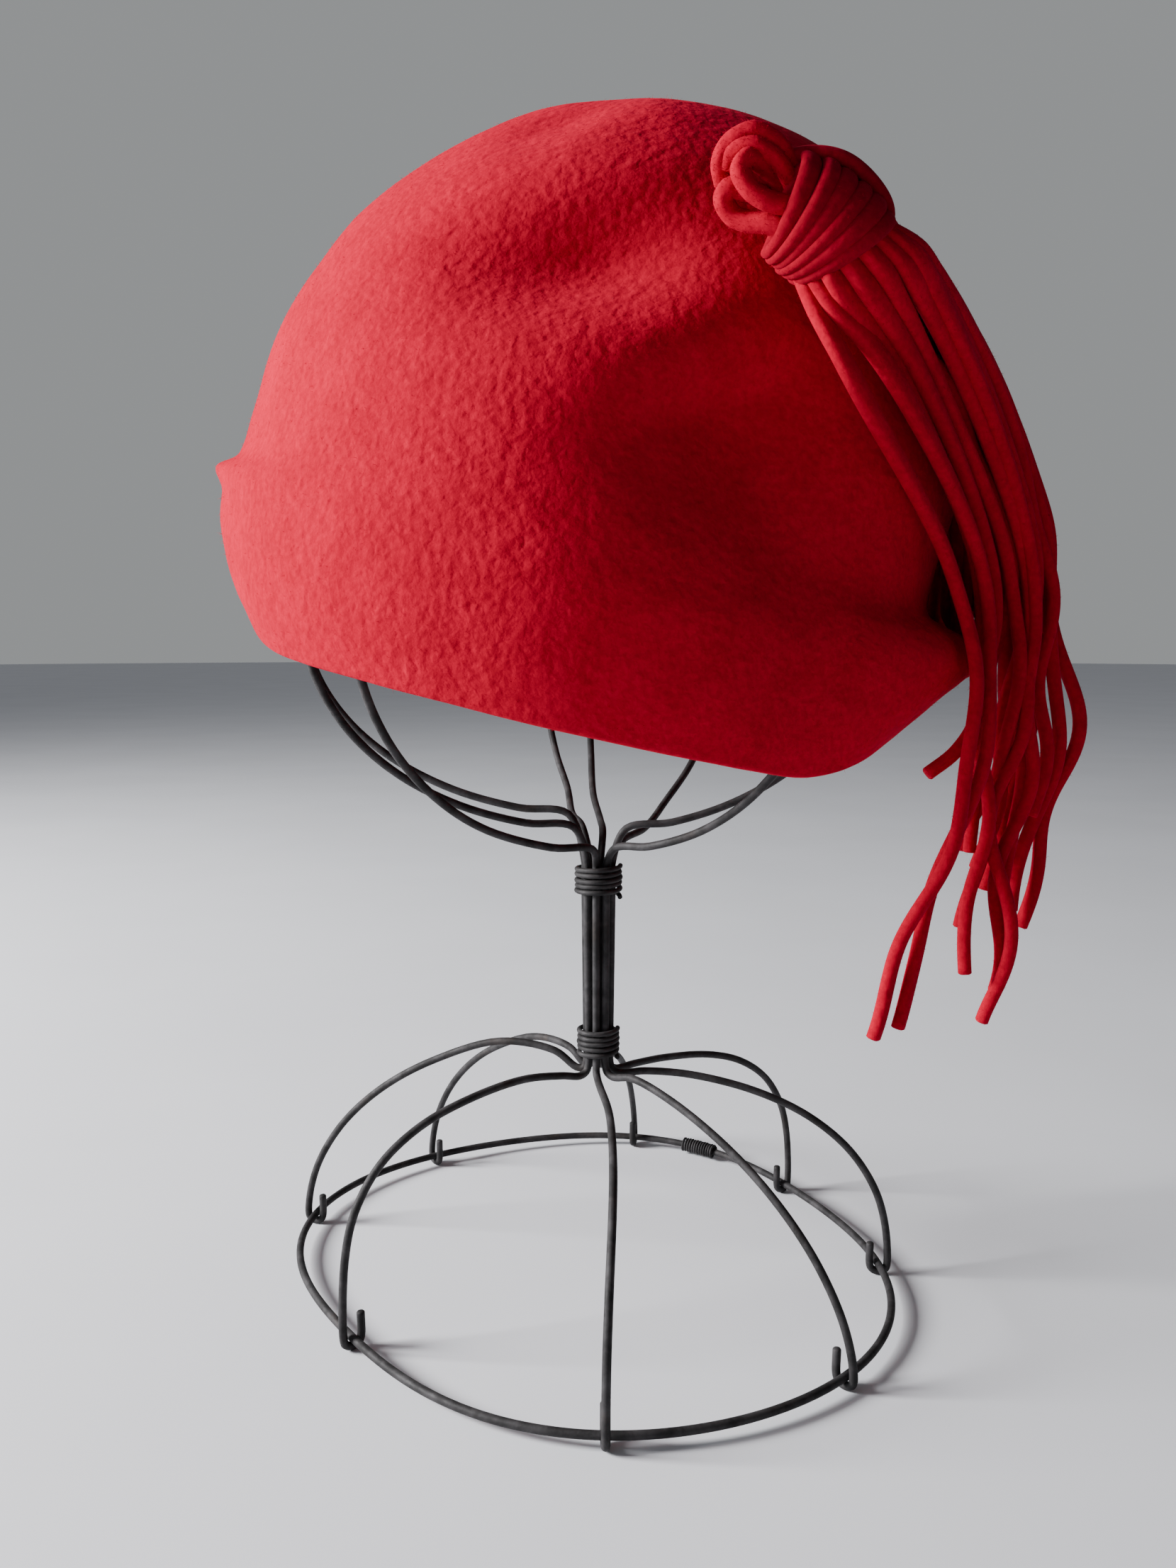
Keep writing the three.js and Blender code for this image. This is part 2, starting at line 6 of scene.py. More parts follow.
import bpy
import numpy as np
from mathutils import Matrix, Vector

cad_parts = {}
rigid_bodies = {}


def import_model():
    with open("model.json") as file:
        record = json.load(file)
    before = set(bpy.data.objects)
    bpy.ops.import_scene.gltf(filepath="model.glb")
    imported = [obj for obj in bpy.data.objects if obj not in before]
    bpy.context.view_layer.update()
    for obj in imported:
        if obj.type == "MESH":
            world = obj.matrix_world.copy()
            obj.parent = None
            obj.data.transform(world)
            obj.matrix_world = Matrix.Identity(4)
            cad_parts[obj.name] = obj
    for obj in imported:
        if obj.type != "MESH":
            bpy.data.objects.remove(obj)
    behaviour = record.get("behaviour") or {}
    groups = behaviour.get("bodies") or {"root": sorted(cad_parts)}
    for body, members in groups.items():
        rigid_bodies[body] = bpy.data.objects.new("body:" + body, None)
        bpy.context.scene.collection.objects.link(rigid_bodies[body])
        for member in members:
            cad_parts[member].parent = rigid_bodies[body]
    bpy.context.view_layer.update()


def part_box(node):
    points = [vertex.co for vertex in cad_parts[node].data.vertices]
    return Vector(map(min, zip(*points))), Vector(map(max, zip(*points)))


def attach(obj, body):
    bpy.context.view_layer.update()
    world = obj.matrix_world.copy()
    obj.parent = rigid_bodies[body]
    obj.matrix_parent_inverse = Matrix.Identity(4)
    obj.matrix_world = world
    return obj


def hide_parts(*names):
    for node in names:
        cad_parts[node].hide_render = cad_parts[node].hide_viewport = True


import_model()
scene = bpy.context.scene
objects = bpy.data.objects
rng = np.random.default_rng(11)  # waves of the strips, then the nap

# Sizes below are millimetres in the stand's own frame: Z up, origin in the base ring's plane.
millimetres = 1000  # to a metre
upwards = (0, 0, 1)
postShift = 2.6  # the post's axis lies this far along X
cageLow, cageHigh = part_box("cage_ring")
ringLow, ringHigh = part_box("base_ring")
cageMiddle = (cageLow + cageHigh) * (millimetres / 2)
ringHeight = (ringLow.z + ringHigh.z) * (millimetres / 2)
shift = np.array([cageMiddle.x - postShift, cageMiddle.y, ringHeight])
cageTop = cageMiddle.z - shift[2]


def joinSurfaces(surfaces):
    # several (points, faces) sets as one, each set's indices moved on by the points before it
    points, faces, count = [], [], 0
    for somePoints, someFaces in surfaces:
        points.append(somePoints)
        faces.extend(group + count for group in someFaces)
        count += len(somePoints)
    return np.concatenate(points), faces


def newMesh(name, points, faces, material):
    # whole arrays of points (metres) and groups of faces as one mesh
    mesh = bpy.data.meshes.new(name)
    mesh.from_pydata(points.tolist(), [], [face for group in faces for face in group.tolist()])
    mesh.materials.append(material)
    made = objects.new(name, mesh)
    scene.collection.objects.link(made)
    return made


def addPiece(name, surface, material, slotName, *nodes):
    # a smooth piece of the hat or stand, moved into the part's frame
    points, faces = surface
    piece = newMesh(name, (points + shift) / millimetres, faces, material)
    piece.data.shade_smooth()
    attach(piece, "root")
    if nodes:
        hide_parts(*nodes)
    return piece


def gridFaces(rows, columns):
    # quads of a grid that is closed round its columns, turned so that columns x rows points outwards
    i, j = np.meshgrid(np.arange(rows - 1), np.arange(columns), indexing="ij")
    k = (j + 1) % columns
    corners = [i * columns + j, i * columns + k, (i + 1) * columns + k, (i + 1) * columns + j]
    return np.stack(corners, -1).reshape(-1, 4)


def fan(pole, ring, flip):
    # triangles from one pole to a closed ring of points
    nextOnes = np.roll(ring, -1)
    pair = (nextOnes, ring) if flip else (ring, nextOnes)
    return np.stack([np.full(len(ring), pole), *pair], -1)


def cappedGrid(rows, columns, inward=False):
    # the quads of a grid and a fan at each end, to the two poles that follow the grid's points
    count, ring = rows * columns, np.arange(columns)
    quads = gridFaces(rows, columns)
    caps = [fan(count, ring, not inward), fan(count + 1, count - columns + ring, inward)]
    return [quads[:, ::-1] if inward else quads, *caps]


def unit(v):
    # the same directions, each of length 1
    return v / np.linalg.norm(v, axis=-1, keepdims=True)


def smoothStep(x, low, high):
    # 0 below low, 1 above high, and three squares less two cubes of the share between
    s = np.clip((x - low) / (high - low), 0, 1)
    return s * s * (3 - 2 * s)


def smoothRun(marks, perSpan):
    # centripetal Catmull-Rom through the marks: cubic spans whose end slopes weigh the
    # neighbouring chords by the square root of their lengths
    p = np.concatenate([[2 * marks[0] - marks[1]], marks, [2 * marks[-1] - marks[-2]]])
    p0, p1, p2, p3 = p[:-3], p[1:-2], p[2:-1], p[3:]
    chords = ((p0, p1), (p1, p2), (p2, p3))
    d0, d1, d2 = (np.linalg.norm(b - a, axis=1, keepdims=True) ** 0.5 for a, b in chords)
    m1 = ((p1 - p0) / d0 - (p2 - p0) / (d0 + d1) + (p2 - p1) / d1) * d1
    m2 = ((p2 - p1) / d1 - (p3 - p1) / (d1 + d2) + (p3 - p2) / d2) * d1
    w = (np.arange(perSpan) / perSpan)[None, :, None]
    a, b, c, d = (x[:, None, :] for x in (p1, p2, m1, m2))
    spans = a + c * w + (3 * b - 3 * a - 2 * c - d) * w**2 + (2 * a - 2 * b + c + d) * w**3
    return np.concatenate([spans.reshape(-1, 3), marks[-1:]])


def evenSteps(path, count):
    # the same path at equal lengths along it
    run = np.concatenate([[0], np.cumsum(np.linalg.norm(np.diff(path, axis=0), axis=1))])
    at = np.linspace(0, run[-1], count)
    return np.stack([np.interp(at, run, path[:, k]) for k in range(3)], 1)


# a cut end stands out by soft and narrows to inset of the section; its middle stands out by dome x soft
cutEnd = {"soft": 0.3, "inset": 0.8, "dome": 1.3}


def tube(path, reference, wide, thick, sides, fullness=2.0, closed=False):
    # a flattened round section (superellipse) carried along a path: half width along the
    # reference direction, half thickness across it, with soft flat-cut ends
    rows = len(path)
    run = unit(np.roll(path, -1, 0) - np.roll(path, 1, 0) if closed else np.gradient(path, axis=0))
    reference = np.broadcast_to(np.asarray(reference, float), path.shape)
    aside = unit(reference - (reference * run).sum(1, keepdims=True) * run)
    other = np.cross(run, aside)
    angle = 2 * np.pi * np.arange(sides) / sides
    c, s = np.cos(angle), np.sin(angle)
    c = np.sign(c) * np.abs(c) ** (2 / fullness)
    s = np.sign(s) * np.abs(s) ** (2 / fullness)
    wide = np.broadcast_to(np.asarray(wide, float), (rows,))[:, None, None]
    thick = np.broadcast_to(np.asarray(thick, float), (rows,))[:, None, None]
    section = aside[:, None] * c[None, :, None] * wide + other[:, None] * s[None, :, None] * thick
    if closed:
        points = (path[:, None] + section).reshape(-1, 3)
        i, j = np.meshgrid(np.arange(rows), np.arange(sides), indexing="ij")
        k, m = (j + 1) % sides, (i + 1) % rows
        quads = np.stack([i * sides + j, i * sides + k, m * sides + k, m * sides + j], -1)
        return points, [quads.reshape(-1, 4)]
    soft, inset, dome = cutEnd["soft"], cutEnd["inset"], cutEnd["dome"]
    start = path[0] - run[0] * soft + inset * section[0]
    end = path[-1] + run[-1] * soft + inset * section[-1]
    grid = np.concatenate([start[None], path[:, None] + section, end[None]])
    poles = [path[0] - run[0] * soft * dome, path[-1] + run[-1] * soft * dome]
    return np.concatenate([grid.reshape(-1, 3), poles]), cappedGrid(rows + 2, sides)


def softNoise(points, size, seed):
    # smooth noise from -1 to 1: random values on a lattice with cells of that size, blended by smoothstep
    cells = 32  # along each side, before it repeats
    lattice = np.random.default_rng(seed).uniform(-1, 1, (cells, cells, cells))
    q = points / size
    cell = np.floor(q).astype(int)
    f = smoothStep(q - cell, 0, 1)
    total = 0
    for corner in np.ndindex(2, 2, 2):
        index = (cell + corner) % cells
        weight = np.prod(np.where(corner, f, 1 - f), axis=-1)
        total = total + weight * lattice[index[..., 0], index[..., 1], index[..., 2]]
    return total


def spikes(roots, directions, lengths, thick):
    # slim closed three-sided fibres: a small triangle at each root and one tip
    helper = np.where(np.abs(directions[:, 2:]) < 0.8, [[0, 0, 1.0]], [[1.0, 0, 0]])  # well off each fibre
    a = unit(np.cross(directions, helper))
    b = np.cross(directions, a)
    angle = 2 * np.pi * np.arange(3) / 3
    spokes = a[:, None] * np.cos(angle)[:, None] + b[:, None] * np.sin(angle)[:, None]
    foot = roots[:, None] + thick * spokes
    tip = roots + directions * lengths[:, None]
    points = np.concatenate([foot, tip[:, None]], 1).reshape(-1, 3)
    base = 4 * np.arange(len(roots))[:, None, None]
    faces = base + np.array([[0, 2, 1], [0, 1, 3], [1, 2, 3], [2, 0, 3]])
    return points, [faces.reshape(-1, 3)]


def newMaterial(name):
    # a material and the helpers that add its nodes; every pattern reads Object coordinates
    material = bpy.data.materials.new(name)
    material.use_nodes = True
    nodes, links = material.node_tree.nodes, material.node_tree.links
    shader = nodes["Principled BSDF"]
    place = nodes.new("ShaderNodeTexCoord").outputs["Object"]

    def noise(scale, detail=3.0, rough=0.55, warp=0.0):  # clouds, so many to a metre
        node = nodes.new("ShaderNodeTexNoise")
        node.inputs["Scale"].default_value = scale
        node.inputs["Detail"].default_value = detail
        node.inputs["Roughness"].default_value = rough
        node.inputs["Distortion"].default_value = warp
        links.new(place, node.inputs["Vector"])
        return node.outputs["Fac"]

    def cells(scale, smooth):  # softened distance to the nearest of scattered points
        node = nodes.new("ShaderNodeTexVoronoi")
        node.feature = "SMOOTH_F1"
        node.inputs["Scale"].default_value = scale
        node.inputs["Smoothness"].default_value = smooth
        links.new(place, node.inputs["Vector"])
        return node.outputs["Distance"]

    def ramp(value, lowColour, highColour, edges=(0.3, 0.7)):  # eases from one colour to the other
        node = nodes.new("ShaderNodeValToRGB")
        node.color_ramp.interpolation = "EASE"
        for element, at, colour in zip(node.color_ramp.elements, edges, (lowColour, highColour)):
            element.position = at
            element.color = (*colour, 1)
        links.new(value, node.inputs["Fac"])
        return node.outputs["Color"]

    def multiply(a, b, amount):  # colour a darkened by colour b
        node = nodes.new("ShaderNodeMix")
        node.data_type = "RGBA"
        node.blend_type = "MULTIPLY"
        node.inputs["Factor"].default_value = amount
        links.new(a, node.inputs["A"])
        links.new(b, node.inputs["B"])
        return node.outputs["Result"]

    def mixValue(a, b, share):  # that share of b, the rest of a
        node = nodes.new("ShaderNodeMix")
        node.inputs["Factor"].default_value = share
        links.new(a, node.inputs["A"])
        links.new(b, node.inputs["B"])
        return node.outputs["Result"]

    def spread(value, low, high):  # 0 to 1 as low to high
        node = nodes.new("ShaderNodeMapRange")
        node.inputs["To Min"].default_value = low
        node.inputs["To Max"].default_value = high
        links.new(value, node.inputs["Value"])
        return node.outputs["Result"]

    def bump(height, strength, distance):  # hollows and rises for the light
        node = nodes.new("ShaderNodeBump")
        node.inputs["Strength"].default_value = strength
        node.inputs["Distance"].default_value = distance
        links.new(height, node.inputs["Height"])
        links.new(node.outputs["Normal"], shader.inputs["Normal"])

    def paint(value, socket):  # a pattern into the shader
        links.new(value, shader.inputs[socket])

    def fix(sockets):  # plain values of the shader
        for socket, value in sockets.items():
            shader.inputs[socket].default_value = value

    return SimpleNamespace(material=material, noise=noise, cells=cells, ramp=ramp, multiply=multiply,
                           mixValue=mixValue, spread=spread, bump=bump, paint=paint, fix=fix)


# scales are waves to a metre
feltLook = {
    "blotchScale": 95, "grainScale": 700, "grainDark": (0.74, 0.7, 0.7), "grainShare": 0.8,
    "roughScale": 300, "roughness": (0.82, 1.0),
    "cellScale": 400, "dimpleScale": 430, "dimpleShare": 0.6,
    "fibreScale": 1700, "fibreShare": 0.1, "bump": 0.65,
    "sockets": {"Specular IOR Level": 0.04, "Sheen Weight": 0.12, "Sheen Roughness": 0.55,
                "Sheen Tint": (1.0, 0.02, 0.09, 1)},
    # deep red, bright red and depth of the dimples (metres) of each felt; the knot's felt is a darker copy
    # of the red felt as painted shade, the strips' felt a lighter copy as painted light
    "felts": {
        "crownFelt": ((0.40, 0.0015, 0.019), (0.46, 0.0018, 0.023), 0.0010),
        # the knot's felt, darkened as painted shade for the wrap lying in shade
        "knotFeltPaintedShade": ((0.20, 0.0010, 0.0100), (0.245, 0.0012, 0.0125), 0.0007),
        # the strips' and loops' felt, made lighter as painted light
        "stripFeltPaintedLight": ((0.36, 0.0016, 0.0175), (0.42, 0.0019, 0.021), 0.0007),
    },
}
white = (1, 1, 1)


def feltMaterial(name):
    # wool felt: blotches of two reds, dimples about 2 mm wide and finer fibre grain
    deep, bright, depth = feltLook["felts"][name]
    felt = newMaterial(name)
    blotches = felt.ramp(felt.noise(feltLook["blotchScale"], detail=4, rough=0.6), deep, bright)
    grain = felt.ramp(felt.noise(feltLook["grainScale"], rough=0.65), feltLook["grainDark"], white)
    felt.paint(felt.multiply(blotches, grain, feltLook["grainShare"]), "Base Color")
    felt.paint(felt.spread(felt.noise(feltLook["roughScale"]), *feltLook["roughness"]), "Roughness")
    hollows = felt.cells(feltLook["cellScale"], smooth=1.0)
    dimples = felt.noise(feltLook["dimpleScale"], detail=1.5, rough=0.4, warp=0.3)
    surface = felt.mixValue(hollows, dimples, feltLook["dimpleShare"])
    fibres = felt.noise(feltLook["fibreScale"], detail=2, rough=0.5)
    felt.bump(felt.mixValue(surface, fibres, feltLook["fibreShare"]), feltLook["bump"], depth)
    felt.fix(feltLook["sockets"])
    return felt.material


ironLook = {
    "skinScale": 160, "wornEdges": (0.35, 0.72),
    "rustScale": 70, "rustEdges": (0.55, 0.8), "rust": (1.0, 0.72, 0.52), "rustShare": 0.8,
    "roughScale": 420, "roughness": (0.5, 0.85), "pitScale": 900, "bump": 0.35, "pitDepth": 0.00025,
    "sockets": {"Metallic": 0.2, "Specular IOR Level": 0.3},
    # dark skin and rubbed spots of each wire
    "wires": {
        "wireIron": ((0.012, 0.011, 0.0115), (0.044, 0.041, 0.043)),
        "bindingIron": ((0.010, 0.009, 0.0095), (0.038, 0.035, 0.036)),
    },
}


def ironMaterial(name):
    # old iron wire: dark skin, paler rubbed spots, a little rust in scattered patches
    dark, worn = ironLook["wires"][name]
    iron = newMaterial(name)
    spots = iron.noise(ironLook["skinScale"], detail=5, rough=0.65, warp=0.4)
    skin = iron.ramp(spots, dark, worn, ironLook["wornEdges"])
    patches = iron.noise(ironLook["rustScale"], detail=4, rough=0.6)
    rust = iron.ramp(patches, white, ironLook["rust"], ironLook["rustEdges"])
    iron.paint(iron.multiply(skin, rust, ironLook["rustShare"]), "Base Color")
    wear = iron.noise(ironLook["roughScale"], detail=4)
    iron.paint(iron.spread(wear, *ironLook["roughness"]), "Roughness")
    pits = iron.noise(ironLook["pitScale"], detail=4, rough=0.6)
    iron.bump(pits, ironLook["bump"], ironLook["pitDepth"])
    iron.fix(ironLook["sockets"])
    return iron.material


# the knot's felt holds painted shade, the strips' felt painted light
crownFelt, knotFeltPaintedShade, stripFeltPaintedLight = (feltMaterial(name) for name in feltLook["felts"])
wireIron, bindingIron = (ironMaterial(name) for name in ironLook["wires"])
print("materials made")

crown = {
    "seatHeight": 168, "backDrop": 13, "felt": 2.4, "grooveHeight": 48, "poleFade": 8, "dentArcRadius": 85,
    "around": 288, "up": 150, "upInside": 56, "rimRows": 7, "skinAround": 120, "skinUp": 60,
    "backTurn": {"lift": 28, "start": 0.6, "power": 2.1, "rollPower": 0.9},
    "frontTurn": {"lift": 24, "start": 0.62, "power": 4, "rollPower": 1.5},
    # height, front, back, side, rollFront, rollBack of each level
    "levels": [
        (0, 103, 85, 84, 0, 7), (10, 109.5, 86.5, 87.5, 0, 11.5), (22, 113, 88, 89.5, 0.5, 16),
        (33, 113.5, 88.8, 90.5, 1, 17.2), (41, 113, 88.6, 90, 4.5, 12.4), (48, 111.5, 88, 89.5, 0, 0),
        (60, 110, 86.5, 88, 0, 0), (80, 108, 87.5, 85, 0, 0), (100, 102, 85.5, 79, 0, 0),
        (120, 90.5, 77.5, 70, 0, 0), (140, 72, 62, 56, 0, 0), (155, 50, 45, 40, 0, 0),
        (164, 21, 25, 20, 0, 0), (167, -6, 6, 0, 0, 0),
    ],
    # azimuth, height, half length, half width above and below, slant, depth of each dent
    "dents": [
        (-100, 108, 30, 13, 16, 20, 9.5), (-73, 81, 25, 11, 48, 38, 11.5), (-86, 112, 13, 12, 12, 0, -1),
        (-124, 143, 14, 10, 10, 0, 2), (-42, 48, 26, 7, 7, 0, 1.2),
    ],
    # depth, size and seed of the coarse and fine lumps
    "lumps": [(0.35, 17, 3), (0.12, 6, 4)],
}

levelTable = np.array(crown["levels"], float)
lastLevel, nextLevel = levelTable[-1], levelTable[-2]
poleShift = lastLevel[2] - lastLevel[1]
beyondPole = [nextLevel[0], -nextLevel[2] - poleShift, -nextLevel[1] + poleShift, -nextLevel[3], 0, 0]


def levelAt(column, t):
    # Catmull-Rom value of one column of the levels at t from 0 (rim) to 1 (pole)
    values = levelTable[:, column]
    last = len(values) - 1
    s = np.clip(t, 0, 1) * last
    k = np.minimum(s.astype(int), last - 1)
    f = s - k
    row = np.concatenate([[2 * values[0] - values[1]], values, [beyondPole[column]]])
    a, b, c, d = row[k], row[k + 1], row[k + 2], row[k + 3]
    return b + 0.5 * f * (c - a + f * (2 * a - 5 * b + 4 * c - d + f * (3 * (b - c) + d - a)))


def plainCrown(u, t):
    # ellipse at each level about its own middle, the edge lifted and rolled out at back and front
    height, front, back, side, rollFront, rollBack = (levelAt(k, t) for k in range(6))
    c = np.cos(u)
    backTurn, frontTurn = crown["backTurn"], crown["frontTurn"]
    backShare = np.maximum(0, (c - backTurn["start"]) / (1 - backTurn["start"]))
    frontShare = np.maximum(0, (-c - frontTurn["start"]) / (1 - frontTurn["start"]))
    backLift = backTurn["lift"] * backShare ** backTurn["power"]
    frontLift = frontTurn["lift"] * frontShare ** frontTurn["power"]
    hem = np.maximum(0, 1 - height / crown["grooveHeight"])
    roll = rollBack * backShare ** backTurn["rollPower"] - rollFront * frontShare ** frontTurn["rollPower"]
    x = (back - front) / 2 + (back + front) / 2 * c + roll
    return np.stack([x, side * np.sin(u), height + (backLift + frontLift) * hem], -1)


def normalOf(surface, u, t):
    # cross product of small steps round and up the surface
    du, dt = 0.01, 0.004
    low = np.minimum(t, 1 - 2 * dt)
    alongU = surface(u + du, low) - surface(u - du, low)
    alongT = surface(u, low + dt) - surface(u, np.maximum(0, low - dt))
    return unit(np.cross(alongU, alongT))


def dentDepth(u, height):
    # sum of slanted bell-shaped hollows, each with its own width above and below its long axis
    depth = 0
    for azimuth, middle, long, above, below, slant, deep in crown["dents"]:
        turn = u - math.radians(azimuth)
        turn = turn - 2 * np.pi * np.round(turn / (2 * np.pi))
        sideways, upward = turn * crown["dentArcRadius"], height - middle
        c, s = math.cos(math.radians(slant)), math.sin(math.radians(slant))
        lengthways, crossways = sideways * c + upward * s, upward * c - sideways * s
        wide = np.where(crossways > 0, above, below)
        depth = depth + deep * np.exp(-((lengthways / long) ** 2) - (crossways / wide) ** 2)
    return depth


def dentedCrown(u, t):
    # the plain crown pushed in along its normal, less and less towards the pole
    point = plainCrown(u, t)
    fade = np.minimum(1, (1 - t) * crown["poleFade"])
    return point - normalOf(plainCrown, u, t) * (fade * dentDepth(u, point[..., 2]))[..., None]


def turnHat(v):
    # the back of the hat drops: a turn about Y
    c, s = math.cos(math.radians(crown["backDrop"])), math.sin(math.radians(crown["backDrop"]))
    return np.stack([v[..., 0] * c + v[..., 2] * s, v[..., 1], v[..., 2] * c - v[..., 0] * s], -1)


def placeHat(v):
    # turned, and lifted to its seat on the stand
    return turnHat(v) + [0, 0, crown["seatHeight"]]


def crownSurface():
    # outer face from the pole down, a half-round rim, inner face up to the pole again
    around, felt = crown["around"], crown["felt"]
    u = 2 * np.pi * np.arange(around) / around
    t = 1 - (np.arange(crown["up"]) + 1) / crown["up"]
    uu, tt = np.meshgrid(u, t)
    smooth = dentedCrown(uu, tt)
    normal = normalOf(dentedCrown, uu, tt)
    push = sum(depth * softNoise(smooth, size, seed) for depth, size, seed in crown["lumps"])
    outer = smooth + normal * push[..., None]
    rimNormal = normal[-1]
    down = unit(outer[-1] - outer[-2])
    turn = np.pi * np.arange(1, crown["rimRows"] + 1) / (crown["rimRows"] + 1)
    middle = outer[-1] - rimNormal * felt / 2
    rim = middle + felt / 2 * (np.cos(turn)[:, None, None] * rimNormal + np.sin(turn)[:, None, None] * down)
    pick = np.linspace(crown["up"] - 1, 0, crown["upInside"]).round().astype(int)
    inner = outer[pick] - normal[pick] * felt
    grid = np.concatenate([outer, rim, inner])
    pole = plainCrown(np.zeros(1), np.ones(1))
    points = np.concatenate([grid.reshape(-1, 3), pole, pole - [0, 0, felt]])
    return placeHat(points), cappedGrid(len(grid), around, inward=True)


feltCrown = addPiece("felt_crown", crownSurface(), crownFelt, "felt", "crown")
print("crown made")

# a sample of the crown's outer face, on which the knot and the strips lie
skinU, skinT = np.meshgrid(2 * np.pi * np.arange(crown["skinAround"]) / crown["skinAround"],
                           np.arange(crown["skinUp"]) / crown["skinUp"])
skinPoints = placeHat(dentedCrown(skinU, skinT)).reshape(-1, 3)
skinNormals = turnHat(normalOf(dentedCrown, skinU, skinT)).reshape(-1, 3)


def standOff(points, clearance):
    # moves points out along the nearest normal until they clear the crown by that much
    nearest = ((points[:, None] - skinPoints[None]) ** 2).sum(2).argmin(1)
    normal = skinNormals[nearest]
    height = ((points - skinPoints[nearest]) * normal).sum(1, keepdims=True)
    return points + normal * np.maximum(0, clearance - height)


knot = {
    "azimuth": -71, "level": 0.674, "lift": 14.6, "axis": (0.81, 0.13, -0.55), "curveRadius": 68,
    "closedRadius": 9.2, "mouthRadius": 10.6, "beyondWrap": 3, "stripWidth": 4.6, "layGap": 0.5,
    "turns": 5.5, "pitch": 3.5, "wrapThick": 3, "fit": 0.3, "ease": 0.4, "barrel": 1.1,
    "frontAngle": -48,  # the side that faces out of the hat, as an angle about the axis
    # the wound strip: its turns, its size, and how it fans, bows and leans
    "windings": 6.1, "windStart": -240, "windSteps": 330, "bandSides": 18, "bandFullness": 2.2,
    "bandThick": 1.5, "bandPitch": 2.83, "bandSpread": 0.57, "bandFan": 0.34, "bandSwell": 0.22,
    "bandBow": 2.2, "bandLean": 0.4, "bandShift": -0.75, "tuckTurns": 0.12, "tuckDepth": 3.2,
    # size, waves to a turn and phase of its unevenness: along the axis, off it, and in width
    "wobble": [(0.22, 0.83, 0.6), (0.11, 1.37, 0)], "heave": (0.2, 0.61, 2), "widthWave": (0.04, 0.47, 0),
    # where the strands over the wrap press it in
    "pressAngle": 42, "pressWidth": 27, "pressDepth": 2.7,
    # length of each half of the bundle, its change towards the high side, and that of the strips' roots
    "coreClosed": (10.4, 1.6), "coreMouth": (8.0, 3.8), "rootSwing": 4.5,
    "coreRows": 30, "coreSides": 72, "ribs": 11, "ribDepth": 0.09, "endPower": 14, "endShrink": 0.45,
    # half thickness, then along, high and front of each loop's marks at the closed end
    "loops": [
        (1.95, [(-8, 3.5, 2), (-14.6, 5.9, 3), (-18.3, 6.5, 3.5), (-22.6, 5.3, 3.8), (-25.3, 0.5, 3.5),
                (-24.5, -3.4, 2.8), (-21.5, -6.2, 1)]),
        (1.85, [(-7.5, 1.2, 3.5), (-12, 3.2, 5), (-16.2, 4, 5.5), (-21, 3.2, 5.5), (-23.5, 0, 4.5),
                (-23, -3.2, 3)]),
        (2.1, [(-10, 0.5, 1.5), (-16.5, 1.5, 4), (-20.3, 0.9, 7), (-20.4, -1.9, 8.5), (-16.5, -3.6, 9.5),
               (-12.2, -3.3, 9.8), (-7, -1.2, 8.5)]),
        (2.2, [(-12.5, -3, 2), (-17, -4.6, 5), (-20, -6, 6.2), (-19.8, -8.3, 5.5), (-16.4, -9.8, 5),
               (-13, -9, 6), (-9, -6.6, 7.8), (-4.5, -5, 8.2)]),
    ],
    "loopPerSpan": 16, "loopSteps": 56, "strandSides": 16, "loopFullness": 2.3,
    # strands that run back over the wrap: angle about the axis and radius at the middle
    "overStrands": [(33, 12.7), (57, 12.3)], "overStart": -16.5, "overEnd": 13, "overSteps": 48,
    "overThick": 1.6, "overWide": 2.1, "overFullness": 2.4,
    "closedFall": 0.0385, "mouthFall": 0.018, "mouthDive": 4.6, "divePower": 8,
}

knotAxis = unit(np.array(knot["axis"]))
seatU, seatT = np.array([math.radians(knot["azimuth"])]), np.array([knot["level"]])
knotSeat = placeHat(dentedCrown(seatU, seatT))
knotMiddle = standOff(knotSeat, knot["lift"])[0]
offCrown = unit(knotMiddle - knotSeat[0])
across = unit(np.cross(offCrown, knotAxis))
upright = unit(np.cross(knotAxis, across))
coreLength = (knot["turns"] + 1) * knot["pitch"] + knot["beyondWrap"]
layClear = knot["stripWidth"] / 2 + knot["layGap"]


def knotPoint(distance, out, over):
    # distance along the knot's bent axis, then away from the crown and across
    bend = knot["curveRadius"]
    turned = distance / bend
    along = (bend + over) * np.sin(turned)
    sideways = (bend + over) * np.cos(turned) - bend
    return knotMiddle + (knotAxis * np.asarray(along)[..., None] + across * np.asarray(sideways)[..., None]
                         + upright * np.asarray(out)[..., None])


def roundKnot(distance, radius, angle):
    # the same by radius and angle (degrees) about the axis
    a = np.radians(angle)
    return knotPoint(distance, radius * np.cos(a), radius * np.sin(a))


def frontPart(angle):
    # cosine and sine of an angle (degrees) counted from the front side: near and high shares
    a = np.radians(angle - knot["frontAngle"])
    return np.cos(a), np.sin(a)


def frontPoint(along, high, front):
    # along the straight axis, then up and towards the front side
    a = math.radians(knot["frontAngle"])
    frontRay = upright * math.cos(a) + across * math.sin(a)
    highRay = across * math.cos(a) - upright * math.sin(a)
    return knotMiddle + np.stack([along, high, front], 1) @ np.stack([knotAxis, highRay, frontRay])


def bundleRadius(distance):
    # grows evenly from the closed end to the mouth
    share = distance / coreLength + 0.5
    return knot["closedRadius"] + (knot["mouthRadius"] - knot["closedRadius"]) * share


def wrapRadius(distance):
    # middle of the wound strip: off the bundle by half its thickness, drawn in towards both ends
    share = distance / (knot["turns"] * knot["pitch"] / 2)
    off = knot["fit"] + knot["wrapThick"] / 2 + knot["ease"]
    return bundleRadius(distance) + off - knot["barrel"] * share**2


def ripple(turn, size, pace, phase):
    # a sine of that size with so many waves to a turn
    return size * np.sin(2 * np.pi * turn * pace + phase)


